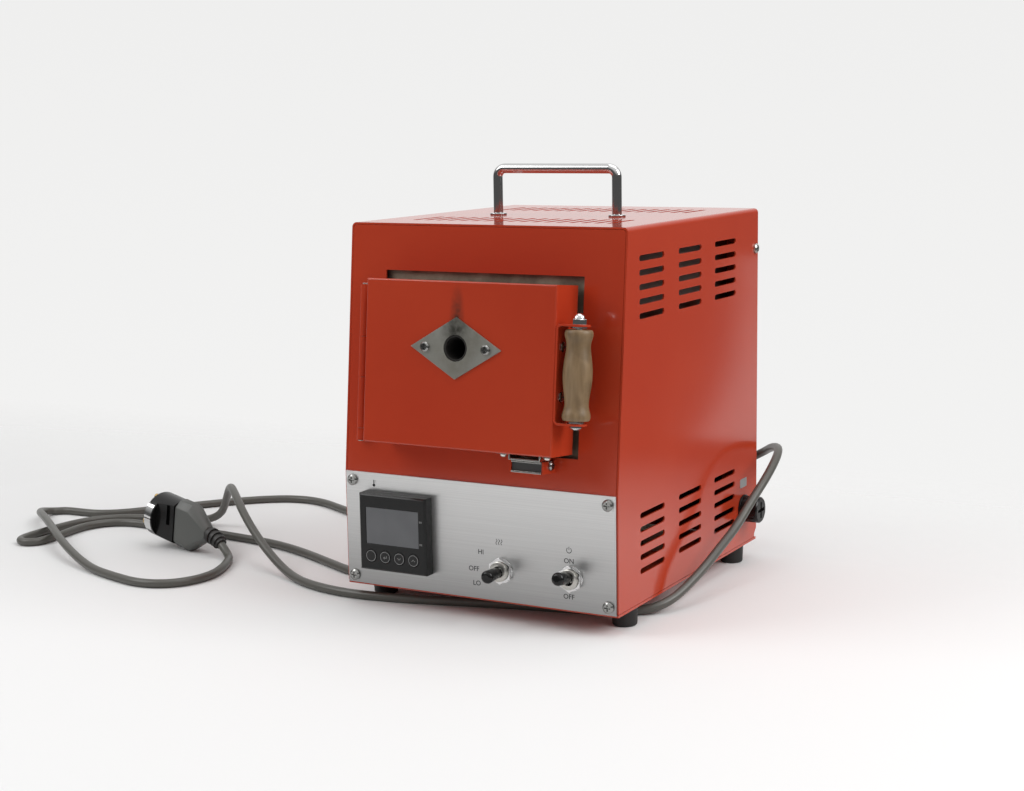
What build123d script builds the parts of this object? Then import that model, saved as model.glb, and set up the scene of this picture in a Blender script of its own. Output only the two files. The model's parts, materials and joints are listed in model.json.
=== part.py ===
"""Bench-top jewellery kiln: a folded sheet-metal casing round a ceramic-fibre muffle.

Millimetres, +Z up. The model is drawn with X to the right, Y to the back, the front of the control
panel at y = 0 and the bottom of the casing at z = 0. Above the control panel the front leans back;
what is built on that slope is drawn square to it, with x across, y into the casing and z up the slope,
and then placed with SLOPE. At the end everything moves so that the origin lies on the bench, in the
middle of the kiln's footprint.
"""
from build123d import *
import math
import os

# ---- casing -----------------------------------------------------------------------------------
case_width = 188.0
case_depth = 217.0
case_height = 225.0
bend_height = 72.0            # where the upright control panel meets the leaning front
top_recess = 15.5             # how far the front's top edge stands back
sheet = 1.2
tray_sheet = 1.6
plate_sheet = 1.0             # brushed control plate
cover_bend_radius = 3.0
cover_lift = 2.0              # bottom edge of the cover above the bottom of the tray
rear_corner_cut = 6.0
flange_depth = 12.0
seat_gap = 0.2                # between sheets that nest in each other
screw_clearance = 0.15        # radial, round every screw shank
thread_gap = 0.1              # radial, between a thread and its nut
m3 = 1.5                      # screw radii
m4 = 2.0
cover_screw_head = (3.2, 2.0)  # radius and height
corner_screw_head = (3.5, 2.0)
catch_screw_head = (3.0, 1.7)
catch_screw = 1.2             # radius
peephole_screw_head = (3.0, 1.8)
bracket_screw_head = (2.9, 1.4)
foot_screw_head = (3.6, 2.2)
handle_screw_head = (3.6, 2.4)
grip_bolt_head = (3.7, 2.4)

slot_length = 35.0
slot_width = 3.5
slot_pitch = 8.4
side_slot_columns = 3
side_slot_rows = 5
side_column_pitch = 56.4
side_columns_ahead = 4.5      # middle column ahead of the casing's middle
upper_bank_drop = 18.8        # top row of the upper bank below the casing's top
lower_bank_drop = 17.7        # top row of the lower bank below the bend
top_slot_count = 17
top_rows_spacing = 110.0
top_rows_behind = 8.5         # middle between the two rows behind the casing's middle

# ---- feet and carrying handle -------------------------------------------------------------------
foot_height = 12.0
foot_top_radius = 8.0
foot_bottom_radius = 7.5
foot_inset_side = 9.5
foot_front = 28.0
foot_rear_inset = 21.0
foot_recess_radius = 4.6
foot_recess_depth = 5.5
foot_screw_reach = 6.0        # above the bottom of the tray
foot_nut = (7.0, 3.2)         # across flats, and thickness

handle_rod = 6.3
handle_span = 85.0
handle_rise = 33.0            # outer top of the handle above the casing
handle_bend = 8.5             # outer bend radius
handle_ahead = 0.5            # legs ahead of the casing's middle
handle_washer_radius = 5.5
handle_washer = 1.2

# ---- control panel ------------------------------------------------------------------------------
plate_side_inset = 1.0        # of the control plate, from the casing's sides
plate_bottom = 1.2
corner_screw_inset = 5.0      # of the plate's corner screws, from its sides
corner_screw_low = 6.0
corner_screw_high = 66.5
controller_x = -55.0
controller_z = 36.5
controller_face = 48.0
controller_proud = 8.0
controller_case_side = 44.6
controller_case_depth = 62.0
cutout_gap = 0.3
window_width = 38.0
window_height = 23.1
window_rise = 4.15            # window's middle above the bezel's middle
key_radius = 3.7
key_gap = 0.2
key_travel = 0.5
key_pitch = 10.2
key_first = -15.5             # first key from the bezel's middle
key_drop = 14.9
key_depth = 3.0               # of the keys' holes
key_proud = 0.4
window_recess = 1.4
window_set_back = 0.3
window_gap = 0.1
bezel_edge = 1.2
heat_switch = (17.2, 20.2)
main_switch = (63.9, 20.7)
bushing_radius = 5.9
bushing_end = -6.0
nut_across_flats = 14.0
switch_nut = 2.5
switch_washer = 0.8
switch_washer_radius = 7.7
switch_body = (18.0, 23.0, 31.0)  # width, depth behind the panel's front, height
switch_tag = (6.0, 8.0, 0.8)
switch_tag_pitch = 10.0
lever_pivot = -1.0
lever_ball = 3.2
lever_radius = 1.7
lever_reach = 19.6
lever_tail = 6.0
sleeve_start = 6.5            # from the pivot
sleeve_base = 3.25
sleeve_tip = 4.1
sleeve_round = 2.4
main_switch_tilt = 12.0       # ON position above the middle

# ---- door and chamber, on the slope where it says v ---------------------------------------------
door_half_width = 64.0
door_bottom = 22.0            # v
door_top = 120.0              # v
door_front = 27.0             # front face ahead of the casing
door_rear = 0.8               # rear edge ahead of the casing
opening_left_gap = 4.0
opening_right_gap = 3.5
opening_low_gap = 2.7
opening_high_gap = 5.2
frame_depth = 4.0             # inner plate behind the casing's front
frame_inset = 1.0             # of its sides, from the muffle's
frame_bottom = 8.0            # v
frame_top = 138.5             # v
chamber_width = 104.0
chamber_height = 74.0
chamber_floor = 107.0
chamber_back = 160.0
plug_middle = 72.0            # v
plug_side_gap = 2.0
plug_end_gap = 1.8
plug_taper_side = 3.5
plug_taper_end = 4.0
plug_depth = 22.0

muffle_half_width = 82.0
muffle_top = 210.4
muffle_back = 192.0
muffle_sheet = 0.8
partition_height = 77.0

element_wire = 1.5            # radius
element_rows = 6
element_pitch = 12.0
element_first = 7.0           # lowest row above the chamber floor
element_front = 30.0
terminal_length = 10.0
probe_radius = 2.4
probe_height = 22.0           # below the chamber's ceiling
probe_reach = 20.0            # into the chamber

peephole_width = 61.0
peephole_height = 36.4
peephole_x = -1.0
peephole_v = 81.0
peephole_screw_offset = 20.5
tube_outer = 7.7
tube_bore = 6.6

# ---- door furniture -----------------------------------------------------------------------------
bracket_bottom = 40.8         # v
bracket_top = 98.2            # v
bracket_front = 26.7
bracket_rear = 13.7
bracket_reach = 20.0          # of the flanges, out from the door's side
bracket_bend = 3.2
bracket_screws = (56.5, 85.0)  # v
bolt_out = 11.4               # bolt's axis from the door's side
bolt_end = 3.5                # of the bolt, past the bracket
grip_bead = 8.8
grip_neck = 7.3
grip_belly = 9.2
bolt_washer = 1.0
bolt_washer_radius = 5.0

hinge_out = 17.0              # pin's axis from the door's side
hinge_off = 3.0               # pin's axis ahead of the casing
knuckle_radius = 2.8
pin_radius = 1.3
knuckle_splits = (20.0, 27.5, 59.0, 84.0, 116.0)  # v
knuckle_gap = 0.2

catch_left = 23.0             # u
catch_right = 52.2
catch_bottom = 10.5           # v
catch_top = 18.0
catch_reach = 15.0
pole_plate = 1.1
strike_left = 22.0
strike_right = 54.0
strike_drop = 4.1             # lowered middle below the door
catch_screw_off = 6.2
catch_screw_v = 15.2

# ---- rear: fuse holder, gland, and the parts inside the control compartment -----------------------
fuse_inset = 24.0             # fuse axis ahead of the casing's back
fuse_z = 26.0
fuse_body_radius = 8.0
fuse_flange_radius = 9.4
fuse_cap_radius = 8.7
fuse_cap_end = 12.8           # end face out from the casing
fuse_link_radius = 3.0
fuse_link_length = 20.0
carrier_radius = 5.2
cover_screw_inset = 5.0
cover_screw_heights = (27.0, 198.8)
gland_x = 60.0
gland_z = 40.0
gland_end = 15.0
gland_thread = 7.4
gland_hexagon = 19.0
gland_flange = 4.5
gland_dome = (8.8, 5.6)       # radii at its foot and its mouth
gland_nut = 4.0
relay_left = -72.0
relay_front = 110.0
relay_size = (34.0, 54.0, 25.4)
relay_tabs = (10.0, 23.0, 36.0, 48.0)  # from its front
terminal_left = 8.0
terminal_front = 150.0
terminal_depth = 18.0
terminal_top = 15.0
terminal_pole = 12.0
terminal_poles = 4

# ---- mains cord, plug and adapter -----------------------------------------------------------------
cord_radius = 3.1
plug_corner = (-264.8, 59.4)  # x and y of the plug's axis over its lowest corner
plug_turn = -11.2             # of its axis, from +X
plug_tilt = 9.2               # front end raised
plug_height = 34.5
plug_width = 15.0
plug_corner_cut = 4.7
plug_body_length = 13.4
plug_taper = 16.0
plug_neck = 5.4
relief_length = 14.5
relief_heading = Vector(0.80, -0.30, -0.52).normalized()
contact_radius = 2.0
contact_spacing = 9.5         # between neighbours of the plug's three pins
contact_depth = 15.0          # of the plug's pins in the adapter
adapter_radius = 16.0
adapter_length = 23.3
adapter_flange = 8.5
adapter_half_far = 10.8       # of the flat sides, next to the flange
adapter_half_near = 8.3       # and at the plug's face
adapter_pin_length = 12.0
adapter_pin_turn = 61.0
groove_from_plug = 3.3        # finger grooves in the flat sides
groove_width = 3.0
groove_depth = 1.4

# ---- worked out from the above ------------------------------------------------------------------
half_width = case_width / 2
plate_half_width = half_width - plate_side_inset
hinge_u = -door_half_width - hinge_out
bolt_u = door_half_width + bolt_out
frame_half_width = muffle_half_width - frame_inset
rise = case_height - bend_height
lean = math.degrees(math.atan2(top_recess, rise))
SLOPE = Pos(0, 0, bend_height) * Rot(-lean, 0, 0)
inner_half = half_width - sheet            # inside of the cover
panel_half = inner_half - seat_gap         # outside of the front and back panels
tray_half = half_width - seat_gap
foot_x = half_width - foot_inset_side
foot_rear = case_depth - foot_rear_inset
foot_places = [(side * foot_x, y) for side in (-1, 1) for y in (foot_front, foot_rear)]
partition_top = partition_height + sheet
chamber_ceiling = chamber_floor + chamber_height
muffle_front = frame_depth + sheet + seat_gap
handle_y = case_depth / 2 - handle_ahead
fuse_y = case_depth - fuse_inset
bolt_off = (bracket_front + bracket_rear) / 2
floor_z = -foot_height
cord_floor = floor_z + cord_radius + 0.02
BIG = 400.0


# ---- shapes used by several parts -----------------------------------------------------------------
def block(x, y, z):
    """A box between two limits on each axis."""
    size = [high - low for low, high in (x, y, z)]
    middle = [(high + low) / 2 for low, high in (x, y, z)]
    return Pos(*middle) * Box(*size)


def rod(radius, start, end):
    """A round bar from one point to another."""
    start = Vector(*start)
    run = Vector(*end) - start
    bar = Cylinder(radius, run.length, align=(Align.CENTER, Align.CENTER, Align.MIN))
    return Plane(origin=start, z_dir=run) * bar


def tube(outer, bore, start, end):
    """A round bar with a hole right through it."""
    return rod(outer, start, end) - rod(bore, start, end)


def hexagon(across_flats, start, end):
    """A hexagonal bar from one point to another, a flat at each side."""
    start = Vector(*start)
    run = Vector(*end) - start
    outline = RegularPolygon(across_flats / 2, 6, major_radius=False)
    return Plane(origin=start, z_dir=run) * extrude(outline, run.length)


def pan_screw(seat, outward, head_radius, head_height, shank_radius, length):
    """A cross-recessed pan-head screw: the underside of its head is at seat, facing away from outward."""
    head = Cylinder(head_radius, head_height, align=(Align.CENTER, Align.CENTER, Align.MIN))
    head = chamfer(head.edges().group_by(Axis.Z)[-1], 0.45 * head_height, 0.3 * head_radius)
    shank = Cylinder(shank_radius, length, align=(Align.CENTER, Align.CENTER, Align.MAX))
    slit = Pos(0, 0, head_height) * Box(1.1 * head_radius, 0.24 * head_radius, 1.1 * head_height)
    screw = head + shank - slit - Rot(0, 0, 90) * slit
    return Plane(origin=seat, z_dir=outward) * screw


def front_y(height):
    """Where the casing's front is at a height."""
    return top_recess * max(height - bend_height, 0) / rise


def behind_front(depth, low, high):
    """Everything behind the front profile moved back by depth, between two heights."""
    outline = Polyline((depth, low), (depth, bend_height), (depth + front_y(high), high),
                       (BIG, high), (BIG, low), close=True)
    return extrude(Plane.YZ * make_face(outline), amount=BIG, both=True)


def behind_slope(depth):
    """Everything behind the leaning front moved into the casing by depth."""
    return SLOPE * block((-BIG, BIG), (depth, 2 * BIG), (-BIG, BIG))


def round_top(shape):
    """Round the two long top edges to nest in the cover's bends."""
    return fillet(shape.edges().filter_by(Axis.Y).group_by(Axis.Z)[-1], cover_bend_radius - sheet)


def group(solids):
    """Separate solids that belong to one sub-part."""
    return Compound(children=[solid for solid in solids])


# ---- casing -------------------------------------------------------------------------------------
def slot_holes():
    """Rounded cooling slots: two banks on each side and two rows in the top."""
    slot = SlotOverall(slot_length, slot_width)
    middle = case_depth / 2 - side_columns_ahead
    side = Sketch()
    for column in range(side_slot_columns):
        y = middle + (column - (side_slot_columns - 1) / 2) * side_column_pitch
        for bank in (case_height - upper_bank_drop, bend_height - lower_bank_drop):
            for row in range(side_slot_rows):
                side += Pos(y, bank - row * slot_pitch) * slot
    top = Sketch()
    for row in (-0.5, 0.5):
        y = case_depth / 2 + top_rows_behind + row * top_rows_spacing
        for column in range(top_slot_count):
            x = (column - (top_slot_count - 1) / 2) * slot_pitch
            top += Pos(x, y) * Rot(0, 0, 90) * slot
    through_sides = extrude(Plane.YZ * side, amount=half_width + 1, both=True)
    through_top = extrude(Pos(0, 0, case_height - 2 * sheet) * top, amount=4 * sheet)
    return through_sides, through_top


def cover_screw_places():
    """Seats of the four cover screws, near the back on both sides."""
    y = case_depth - cover_screw_inset
    return [(side, (side * half_width, y, z)) for side in (-1, 1) for z in cover_screw_heights]


def make_cover():
    """Top and sides folded from one sheet, its front edges cut to the profile of the front."""
    outer = block((-half_width, half_width), (0, case_depth), (cover_lift, case_height))
    outer = fillet(outer.edges().filter_by(Axis.Y).group_by(Axis.Z)[-1], cover_bend_radius)
    inner = block((-inner_half, inner_half), (-1, case_depth + 1), (cover_lift - 1, case_height - sheet))
    inner = round_top(inner)
    shell = (outer - inner) & behind_front(0, -1, case_height + 1)
    cut_y = case_depth - rear_corner_cut
    cut_z = cover_lift + rear_corner_cut
    corner = Polyline((cut_y, cover_lift - 1), (case_depth + 1, cover_lift - 1), (case_depth + 1, cut_z),
                      (case_depth, cut_z), (cut_y, cover_lift), close=True)
    shell -= extrude(Plane.YZ * make_face(corner), amount=BIG, both=True)
    for holes in slot_holes():
        shell -= holes
    for side, (x, y, z) in cover_screw_places():
        shell -= rod(m3 + screw_clearance, (x - side * 5, y, z), (x + side, y, z))
    for x in (-handle_span / 2, handle_span / 2):
        hole = m4 + screw_clearance
        shell -= rod(hole, (x, handle_y, case_height - 3), (x, handle_y, case_height + 1))
    hole = fuse_body_radius + screw_clearance
    return shell - rod(hole, (half_width - 5, fuse_y, fuse_z), (half_width + 1, fuse_y, fuse_z))


def make_cover_screws():
    places = cover_screw_places()
    return group([pan_screw(seat, (side, 0, 0), *cover_screw_head, m3, 8.0) for side, seat in places])


def panel_holes():
    """Controller and switch holes, shared by the control plate and the panel behind it."""
    half = controller_case_side / 2 + cutout_gap
    holes = block((controller_x - half, controller_x + half), (-5, 5),
                  (controller_z - half, controller_z + half))
    for x, z in (heat_switch, main_switch):
        holes += rod(bushing_radius + screw_clearance, (x, -5, z), (x, 5, z))
    for x, z in corner_screw_places():
        holes += rod(m3 + screw_clearance, (x, -5, z), (x, 5, z))
    return holes


def corner_screw_places():
    x = plate_half_width - corner_screw_inset
    return [(side * x, z) for side in (-1, 1) for z in (corner_screw_low, corner_screw_high)]


def make_front_panel():
    """Folded front: upright below, leaning above, with flanges inside the cover."""
    low = cover_lift - seat_gap
    high = case_height - sheet - seat_gap
    outside = round_top(block((-panel_half, panel_half), (-1, BIG), (low, high)))
    skin = behind_front(0, low - 1, high + 1) & outside
    skin -= behind_front(flange_depth, low - 2, high + 2)
    room = block((sheet - panel_half, panel_half - sheet), (-1, BIG), (low - 1, high - sheet))
    skin -= behind_front(sheet, low - 2, high + 2) & room
    door_hole = block((-door_half_width - opening_left_gap, door_half_width + opening_right_gap), (-5, 5),
                      (door_bottom - opening_low_gap, door_top + opening_high_gap))
    return skin - SLOPE * door_hole - panel_holes()


def make_control_plate():
    """Brushed plate on the lower front, up to the bend."""
    plate = block((-plate_half_width, plate_half_width), (-plate_sheet, 0), (plate_bottom, bend_height))
    return plate - panel_holes()


def make_front_screws():
    """The control plate's corner screws and the two that hold the catch's magnet."""
    seats = [(x, -plate_sheet, z) for x, z in corner_screw_places()]
    screws = [pan_screw(seat, (0, -1, 0), *corner_screw_head, m3, 8.0) for seat in seats]
    for side, u in ((-1, catch_left), (1, catch_right)):
        seat = (u, -catch_screw_off, catch_screw_v)
        screws.append(SLOPE * pan_screw(seat, (side, 0, 0), *catch_screw_head, catch_screw, 5.0))
    return group(screws)


def make_base_tray():
    """Bottom tray with its side lips turned up inside the cover."""
    tray = block((-tray_half, tray_half), (seat_gap, case_depth - seat_gap), (0, tray_sheet))
    for side in (-1, 1):
        lip = sorted((side * (panel_half - sheet), side * panel_half))
        front = flange_depth + 2
        tray += block(lip, (front, case_depth - front), (0, flange_depth + 2))
    for x, y in foot_places:
        tray -= rod(m4 + screw_clearance, (x, y, -1), (x, y, 3))
    return tray


def make_back_panel():
    """Flat back with flanges turned forward inside the cover."""
    low = cover_lift - seat_gap
    high = case_height - sheet - seat_gap
    front = case_depth - flange_depth
    panel = round_top(block((-panel_half, panel_half), (front, case_depth), (low, high)))
    inside = (sheet - panel_half, panel_half - sheet)
    panel -= block(inside, (front - 1, case_depth - sheet), (low - 1, high - sheet))
    for side, (x, y, z) in cover_screw_places():
        panel -= rod(m3 + screw_clearance, (x - side * 5, y, z), (x + side, y, z))
    hole = gland_thread + screw_clearance
    return panel - rod(hole, (gland_x, case_depth - 5, gland_z), (gland_x, case_depth + 1, gland_z))


def make_rubber_feet():
    """Tapered rubber feet, recessed underneath for their screws."""
    feet = []
    for x, y in foot_places:
        foot = Cone(foot_bottom_radius, foot_top_radius, foot_height)
        foot = chamfer(foot.edges().group_by(Axis.Z)[0], 0.8)
        foot = Pos(x, y, -foot_height / 2) * foot
        foot -= rod(foot_recess_radius, (x, y, -foot_height - 1), (x, y, foot_recess_depth - foot_height))
        feet.append(foot - rod(m4 + screw_clearance, (x, y, -foot_height), (x, y, 1)))
    return group(feet)


def make_foot_screws():
    """A screw up through each foot and the tray, with its nut on the tray."""
    pieces = []
    for x, y in foot_places:
        seat = foot_recess_depth - foot_height
        pieces.append(pan_screw((x, y, seat), (0, 0, -1), *foot_screw_head, m4, foot_screw_reach - seat))
        flats, thick = foot_nut
        nut = hexagon(flats, (x, y, tray_sheet), (x, y, tray_sheet + thick))
        pieces.append(nut - rod(m4 + thread_gap, (x, y, 0), (x, y, 9)))
    return group(pieces)


def make_carry_handle():
    """Bent chrome rod with tapped legs."""
    radius = handle_rod / 2
    foot = case_height + handle_washer
    crown = case_height + handle_rise - radius
    half = handle_span / 2
    path = FilletPolyline((-half, handle_y, foot), (-half, handle_y, crown), (half, handle_y, crown),
                          (half, handle_y, foot), radius=handle_bend - radius)
    handle = sweep(Plane(origin=path @ 0, z_dir=path % 0) * Circle(radius), path=path)
    for x in (-half, half):
        handle -= rod(m4 + thread_gap, (x, handle_y, foot - 1), (x, handle_y, foot + 13))
    return handle


def make_handle_washers():
    washers = []
    for x in (-handle_span / 2, handle_span / 2):
        low = (x, handle_y, case_height)
        high = (x, handle_y, case_height + handle_washer)
        washers.append(tube(handle_washer_radius, m4 + screw_clearance, low, high))
    return group(washers)


def make_handle_screws():
    """Screws up into the handle's legs from under the top."""
    screws = []
    for x in (-handle_span / 2, handle_span / 2):
        seat = (x, handle_y, case_height - sheet)
        screws.append(pan_screw(seat, (0, 0, -1), *handle_screw_head, m4, 14.0))
    return group(screws)


# ---- controller -----------------------------------------------------------------------------------
def key_places():
    z = controller_z - key_drop
    return [(controller_x + key_first + n * key_pitch, z) for n in range(4)]


def make_controller_case():
    """Case of the digital controller, behind the panel."""
    half = controller_case_side / 2
    back = controller_case_depth - plate_sheet
    return block((controller_x - half, controller_x + half), (-plate_sheet, back),
                 (controller_z - half, controller_z + half))


def make_controller_bezel():
    """Square bezel with a recess for the window and a hole for each key."""
    half = controller_face / 2
    face = -plate_sheet - controller_proud
    bezel = block((controller_x - half, controller_x + half), (face, -plate_sheet),
                  (controller_z - half, controller_z + half))
    bezel = chamfer(bezel.edges().group_by(Axis.Y)[0], bezel_edge)
    wide = window_width / 2
    low = controller_z + window_rise - window_height / 2
    bezel -= block((controller_x - wide, controller_x + wide), (face - 1, face + window_recess),
                   (low, low + window_height))
    for x, z in key_places():
        bezel -= rod(key_radius + key_gap, (x, face - 1, z), (x, face + key_depth, z))
    return bezel


def make_controller_window():
    face = -plate_sheet - controller_proud
    wide = window_width / 2 - window_gap
    low = controller_z + window_rise - window_height / 2 + window_gap
    return block((controller_x - wide, controller_x + wide), (face + window_set_back, face + window_recess),
                 (low, low + window_height - 2 * window_gap))


def make_controller_key(x, z):
    """Round push key, its travel left free behind it."""
    face = -plate_sheet - controller_proud
    key = rod(key_radius, (x, face - key_proud, z), (x, face + key_depth - key_travel - seat_gap, z))
    return chamfer(key.edges().group_by(Axis.Y)[0], 0.25)


# ---- toggle switches ------------------------------------------------------------------------------
def make_switch_body(place):
    """Toggle switch behind the panel, its threaded bushing coming out through it."""
    x, z = place
    wide, back, tall = switch_body
    tag_wide, tag_long, tag_thick = switch_tag
    body = block((x - wide / 2, x + wide / 2), (sheet, back), (z - tall / 2, z + tall / 2))
    body += rod(bushing_radius, (x, bushing_end, z), (x, sheet + 1, z))
    for step in (-1, 0, 1):
        low = z + step * switch_tag_pitch - tag_thick / 2
        body += block((x - tag_wide / 2, x + tag_wide / 2), (back, back + tag_long), (low, low + tag_thick))
    return body - rod(lever_ball + 0.2, (x, bushing_end - 1, z), (x, lever_tail + 3, z))


def make_switch_nuts():
    """Lock washer and nut in front of the plate, on both switches."""
    pieces = []
    for x, z in (heat_switch, main_switch):
        start = -plate_sheet
        middle = start - switch_washer
        washer = tube(switch_washer_radius, bushing_radius + thread_gap, (x, start, z), (x, middle, z))
        nut = hexagon(nut_across_flats, (x, middle, z), (x, middle - switch_nut, z))
        nut -= rod(bushing_radius + thread_gap, (x, 1, z), (x, middle - switch_nut - 1, z))
        pieces += [washer, nut]
    return group(pieces)


def tilted(place, tilt, shape):
    """Turn a lever drawn along -Y at the origin by its tilt and set it on its pivot."""
    x, z = place
    return Pos(x, lever_pivot, z) * Rot(-tilt, 0, 0) * shape


def make_lever(place, tilt):
    """Lever with its pivot ball and the tail that works the contacts."""
    lever = Sphere(lever_ball) + rod(lever_radius, (0, 0, 0), (0, 1.5 - lever_reach, 0))
    lever += rod(1.2, (0, 0, 0), (0, lever_tail, 0))
    return tilted(place, tilt, lever)


def make_lever_sleeve(place, tilt):
    """Black sleeve that widens towards its rounded tip."""
    length = lever_reach - sleeve_start
    sleeve = Cone(sleeve_base, sleeve_tip, length, align=(Align.CENTER, Align.CENTER, Align.MIN))
    sleeve = fillet(sleeve.edges().group_by(Axis.Z)[-1], sleeve_round)
    sleeve = Plane(origin=(0, -sleeve_start, 0), z_dir=(0, -1, 0)) * sleeve
    sleeve -= rod(lever_radius + 0.1, (0, 0, 0), (0, 1.3 - lever_reach, 0))
    return tilted(place, tilt, sleeve)


# ---- fuse holder, gland and mains parts -----------------------------------------------------------
def make_fuse_holder_body():
    """Panel fuse holder: hollow body, flange against the cover, nut inside it."""
    inner_end = half_width - 44
    body = rod(fuse_body_radius, (inner_end, fuse_y, fuse_z), (half_width + 1, fuse_y, fuse_z))
    body += rod(fuse_flange_radius, (half_width, fuse_y, fuse_z), (half_width + 1.4, fuse_y, fuse_z))
    body -= rod(carrier_radius + 0.2, (inner_end + 3, fuse_y, fuse_z), (half_width + 3, fuse_y, fuse_z))
    nut_end = inner_half - 4
    nut = hexagon(20.0, (nut_end, fuse_y, fuse_z), (inner_half, fuse_y, fuse_z))
    nut -= rod(fuse_body_radius + thread_gap, (nut_end - 1, fuse_y, fuse_z), (half_width, fuse_y, fuse_z))
    return group([body, nut])


def make_fuse_cap():
    """Screw cap with a coin slot and the carrier sleeve that grips the fuse."""
    face = half_width + fuse_cap_end
    seat = half_width + 1.4 + seat_gap
    cap = rod(fuse_cap_radius, (seat, fuse_y, fuse_z), (face, fuse_y, fuse_z))
    cap = chamfer(cap.edges().group_by(Axis.X)[-1], 0.8)
    for n in range(12):
        turn = 2 * math.pi * n / 12
        y = fuse_y + (fuse_cap_radius + 0.35) * math.cos(turn)
        z = fuse_z + (fuse_cap_radius + 0.35) * math.sin(turn)
        cap -= rod(0.9, (seat - 1, y, z), (face - 2.5, y, z))
    cap += rod(carrier_radius, (seat - 12, fuse_y, fuse_z), (seat, fuse_y, fuse_z))
    cap -= rod(fuse_link_radius + 0.08, (seat - 13, fuse_y, fuse_z), (seat - 2, fuse_y, fuse_z))
    for wide, tall in ((5.5, 1.1), (1.1, 5.5)):
        cap -= block((face - 1.6, face + 1), (fuse_y - wide, fuse_y + wide), (fuse_z - tall, fuse_z + tall))
    return cap


def make_fuse_link():
    """Cartridge fuse: glass tube between two metal caps."""
    end = half_width + 1.4 + seat_gap - 2.5
    start = end - fuse_link_length
    link = rod(fuse_link_radius - 0.3, (start, fuse_y, fuse_z), (end, fuse_y, fuse_z))
    for low in (start, end - 5):
        link += rod(fuse_link_radius, (low, fuse_y, fuse_z), (low + 5, fuse_y, fuse_z))
    return link


def make_cord_gland():
    """Cable gland: hexagon and domed nut outside, thread through the back, lock nut inside."""
    back = case_depth
    body = rod(gland_thread, (gland_x, back - 9, gland_z), (gland_x, back + 2, gland_z))
    body += hexagon(gland_hexagon, (gland_x, back, gland_z), (gland_x, back + gland_flange, gland_z))
    dome = Cone(*gland_dome, gland_end - gland_flange, align=(Align.CENTER, Align.CENTER, Align.MIN))
    dome = Plane(origin=(gland_x, back + gland_flange, gland_z), z_dir=(0, 1, 0)) * dome
    body = body + dome - rod(cord_radius + 0.2, (gland_x, back - 12, gland_z), (gland_x, BIG, gland_z))
    inside = back - sheet
    nut_end = inside - gland_nut
    nut = hexagon(gland_hexagon, (gland_x, nut_end, gland_z), (gland_x, inside, gland_z))
    nut -= rod(gland_thread + thread_gap, (gland_x, nut_end - 5, gland_z), (gland_x, inside + 1, gland_z))
    return group([body, nut])


def make_relay():
    """Power relay on the tray, with its two rows of blade terminals."""
    wide, deep, tall = relay_size
    top = tray_sheet + tall
    relay = block((relay_left, relay_left + wide), (relay_front, relay_front + deep), (tray_sheet, top))
    for along in relay_tabs:
        y = relay_front + along
        for x in (relay_left + 8, relay_left + wide - 8):
            relay += block((x - 3, x + 3), (y - 0.4, y + 0.4), (top, top + 8))
    return relay


def make_terminal_block():
    """Row of screw terminals on the tray, behind the main switch."""
    right = terminal_left + terminal_poles * terminal_pole
    back = terminal_front + terminal_depth
    middle = (terminal_front + back) / 2
    base = block((terminal_left, right), (terminal_front, back), (tray_sheet, terminal_top))
    for n in range(terminal_poles):
        x = terminal_left + (n + 0.5) * terminal_pole
        base -= rod(3.0, (x, middle, terminal_top - 6), (x, middle, terminal_top + 1))
        base -= rod(2.2, (x, terminal_front - 1, 6.5), (x, back + 1, 6.5))
    for n in range(1, terminal_poles):
        x = terminal_left + n * terminal_pole
        base -= block((x - 1, x + 1), (terminal_front - 1, back + 1), (terminal_top - 4, terminal_top + 1))
    return base


# ---- muffle ---------------------------------------------------------------------------------------
def element_heights():
    return [chamber_floor + element_first + n * element_pitch for n in range(element_rows)]


def element_x():
    return chamber_width / 2 - seat_gap - element_wire


def probe_z():
    return chamber_ceiling - probe_height


def rear_passages(clearance, start, end):
    """Holes in line with the element ends and the temperature probe."""
    heights = element_heights()
    holes = rod(probe_radius + clearance, (0, start, probe_z()), (0, end, probe_z()))
    for side in (-1, 1):
        for z in (heights[0], heights[-1]):
            x = side * element_x()
            holes += rod(element_wire + clearance, (x, start, z), (x, end, z))
    return holes


def make_partition_plate():
    """Shelf between the control compartment and the muffle, its front and back edges turned down."""
    half = panel_half - sheet - seat_gap
    front = front_y(partition_top) + sheet + seat_gap
    back = case_depth - sheet - seat_gap
    plate = block((-half, half), (front, back), (partition_height, partition_top))
    for y in (front, back - sheet):
        plate += block((-half, half), (y, y + sheet), (partition_height - 8, partition_height))
    return plate


def make_muffle_case():
    """Thin sheet box round the insulation, open at the front."""
    case = block((-muffle_half_width, muffle_half_width), (-BIG, muffle_back), (partition_top, muffle_top))
    wide = muffle_half_width - muffle_sheet
    case -= block((-wide, wide), (-2 * BIG, muffle_back - muffle_sheet),
                  (partition_top + muffle_sheet, muffle_top - muffle_sheet))
    case &= behind_slope(muffle_front)
    return case - rear_passages(0.6, muffle_back - 5, muffle_back + 1)


def make_muffle_body():
    """Ceramic-fibre boards round the firing chamber: floor and roof between two sides, and the back."""
    inset = muffle_sheet + seat_gap
    half = chamber_width / 2
    wide = muffle_half_width - inset
    along = (-BIG, chamber_back)
    low = partition_top + inset
    high = muffle_top - inset
    boards = [block((-half, half), along, (low, chamber_floor)),
              block((-half, half), along, (chamber_ceiling, high)),
              block((-wide, -half), along, (low, high)),
              block((half, wide), along, (low, high))]
    boards = [board & behind_slope(muffle_front) for board in boards]
    back = block((-wide, wide), (chamber_back, muffle_back - inset), (low, high))
    return group(boards + [back - rear_passages(0.3, chamber_back - 1, muffle_back)])


def chamber_space():
    """The chamber's hollow, open to the front."""
    half = chamber_width / 2
    return block((-half, half), (-BIG, chamber_back), (chamber_floor, chamber_ceiling))


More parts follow.
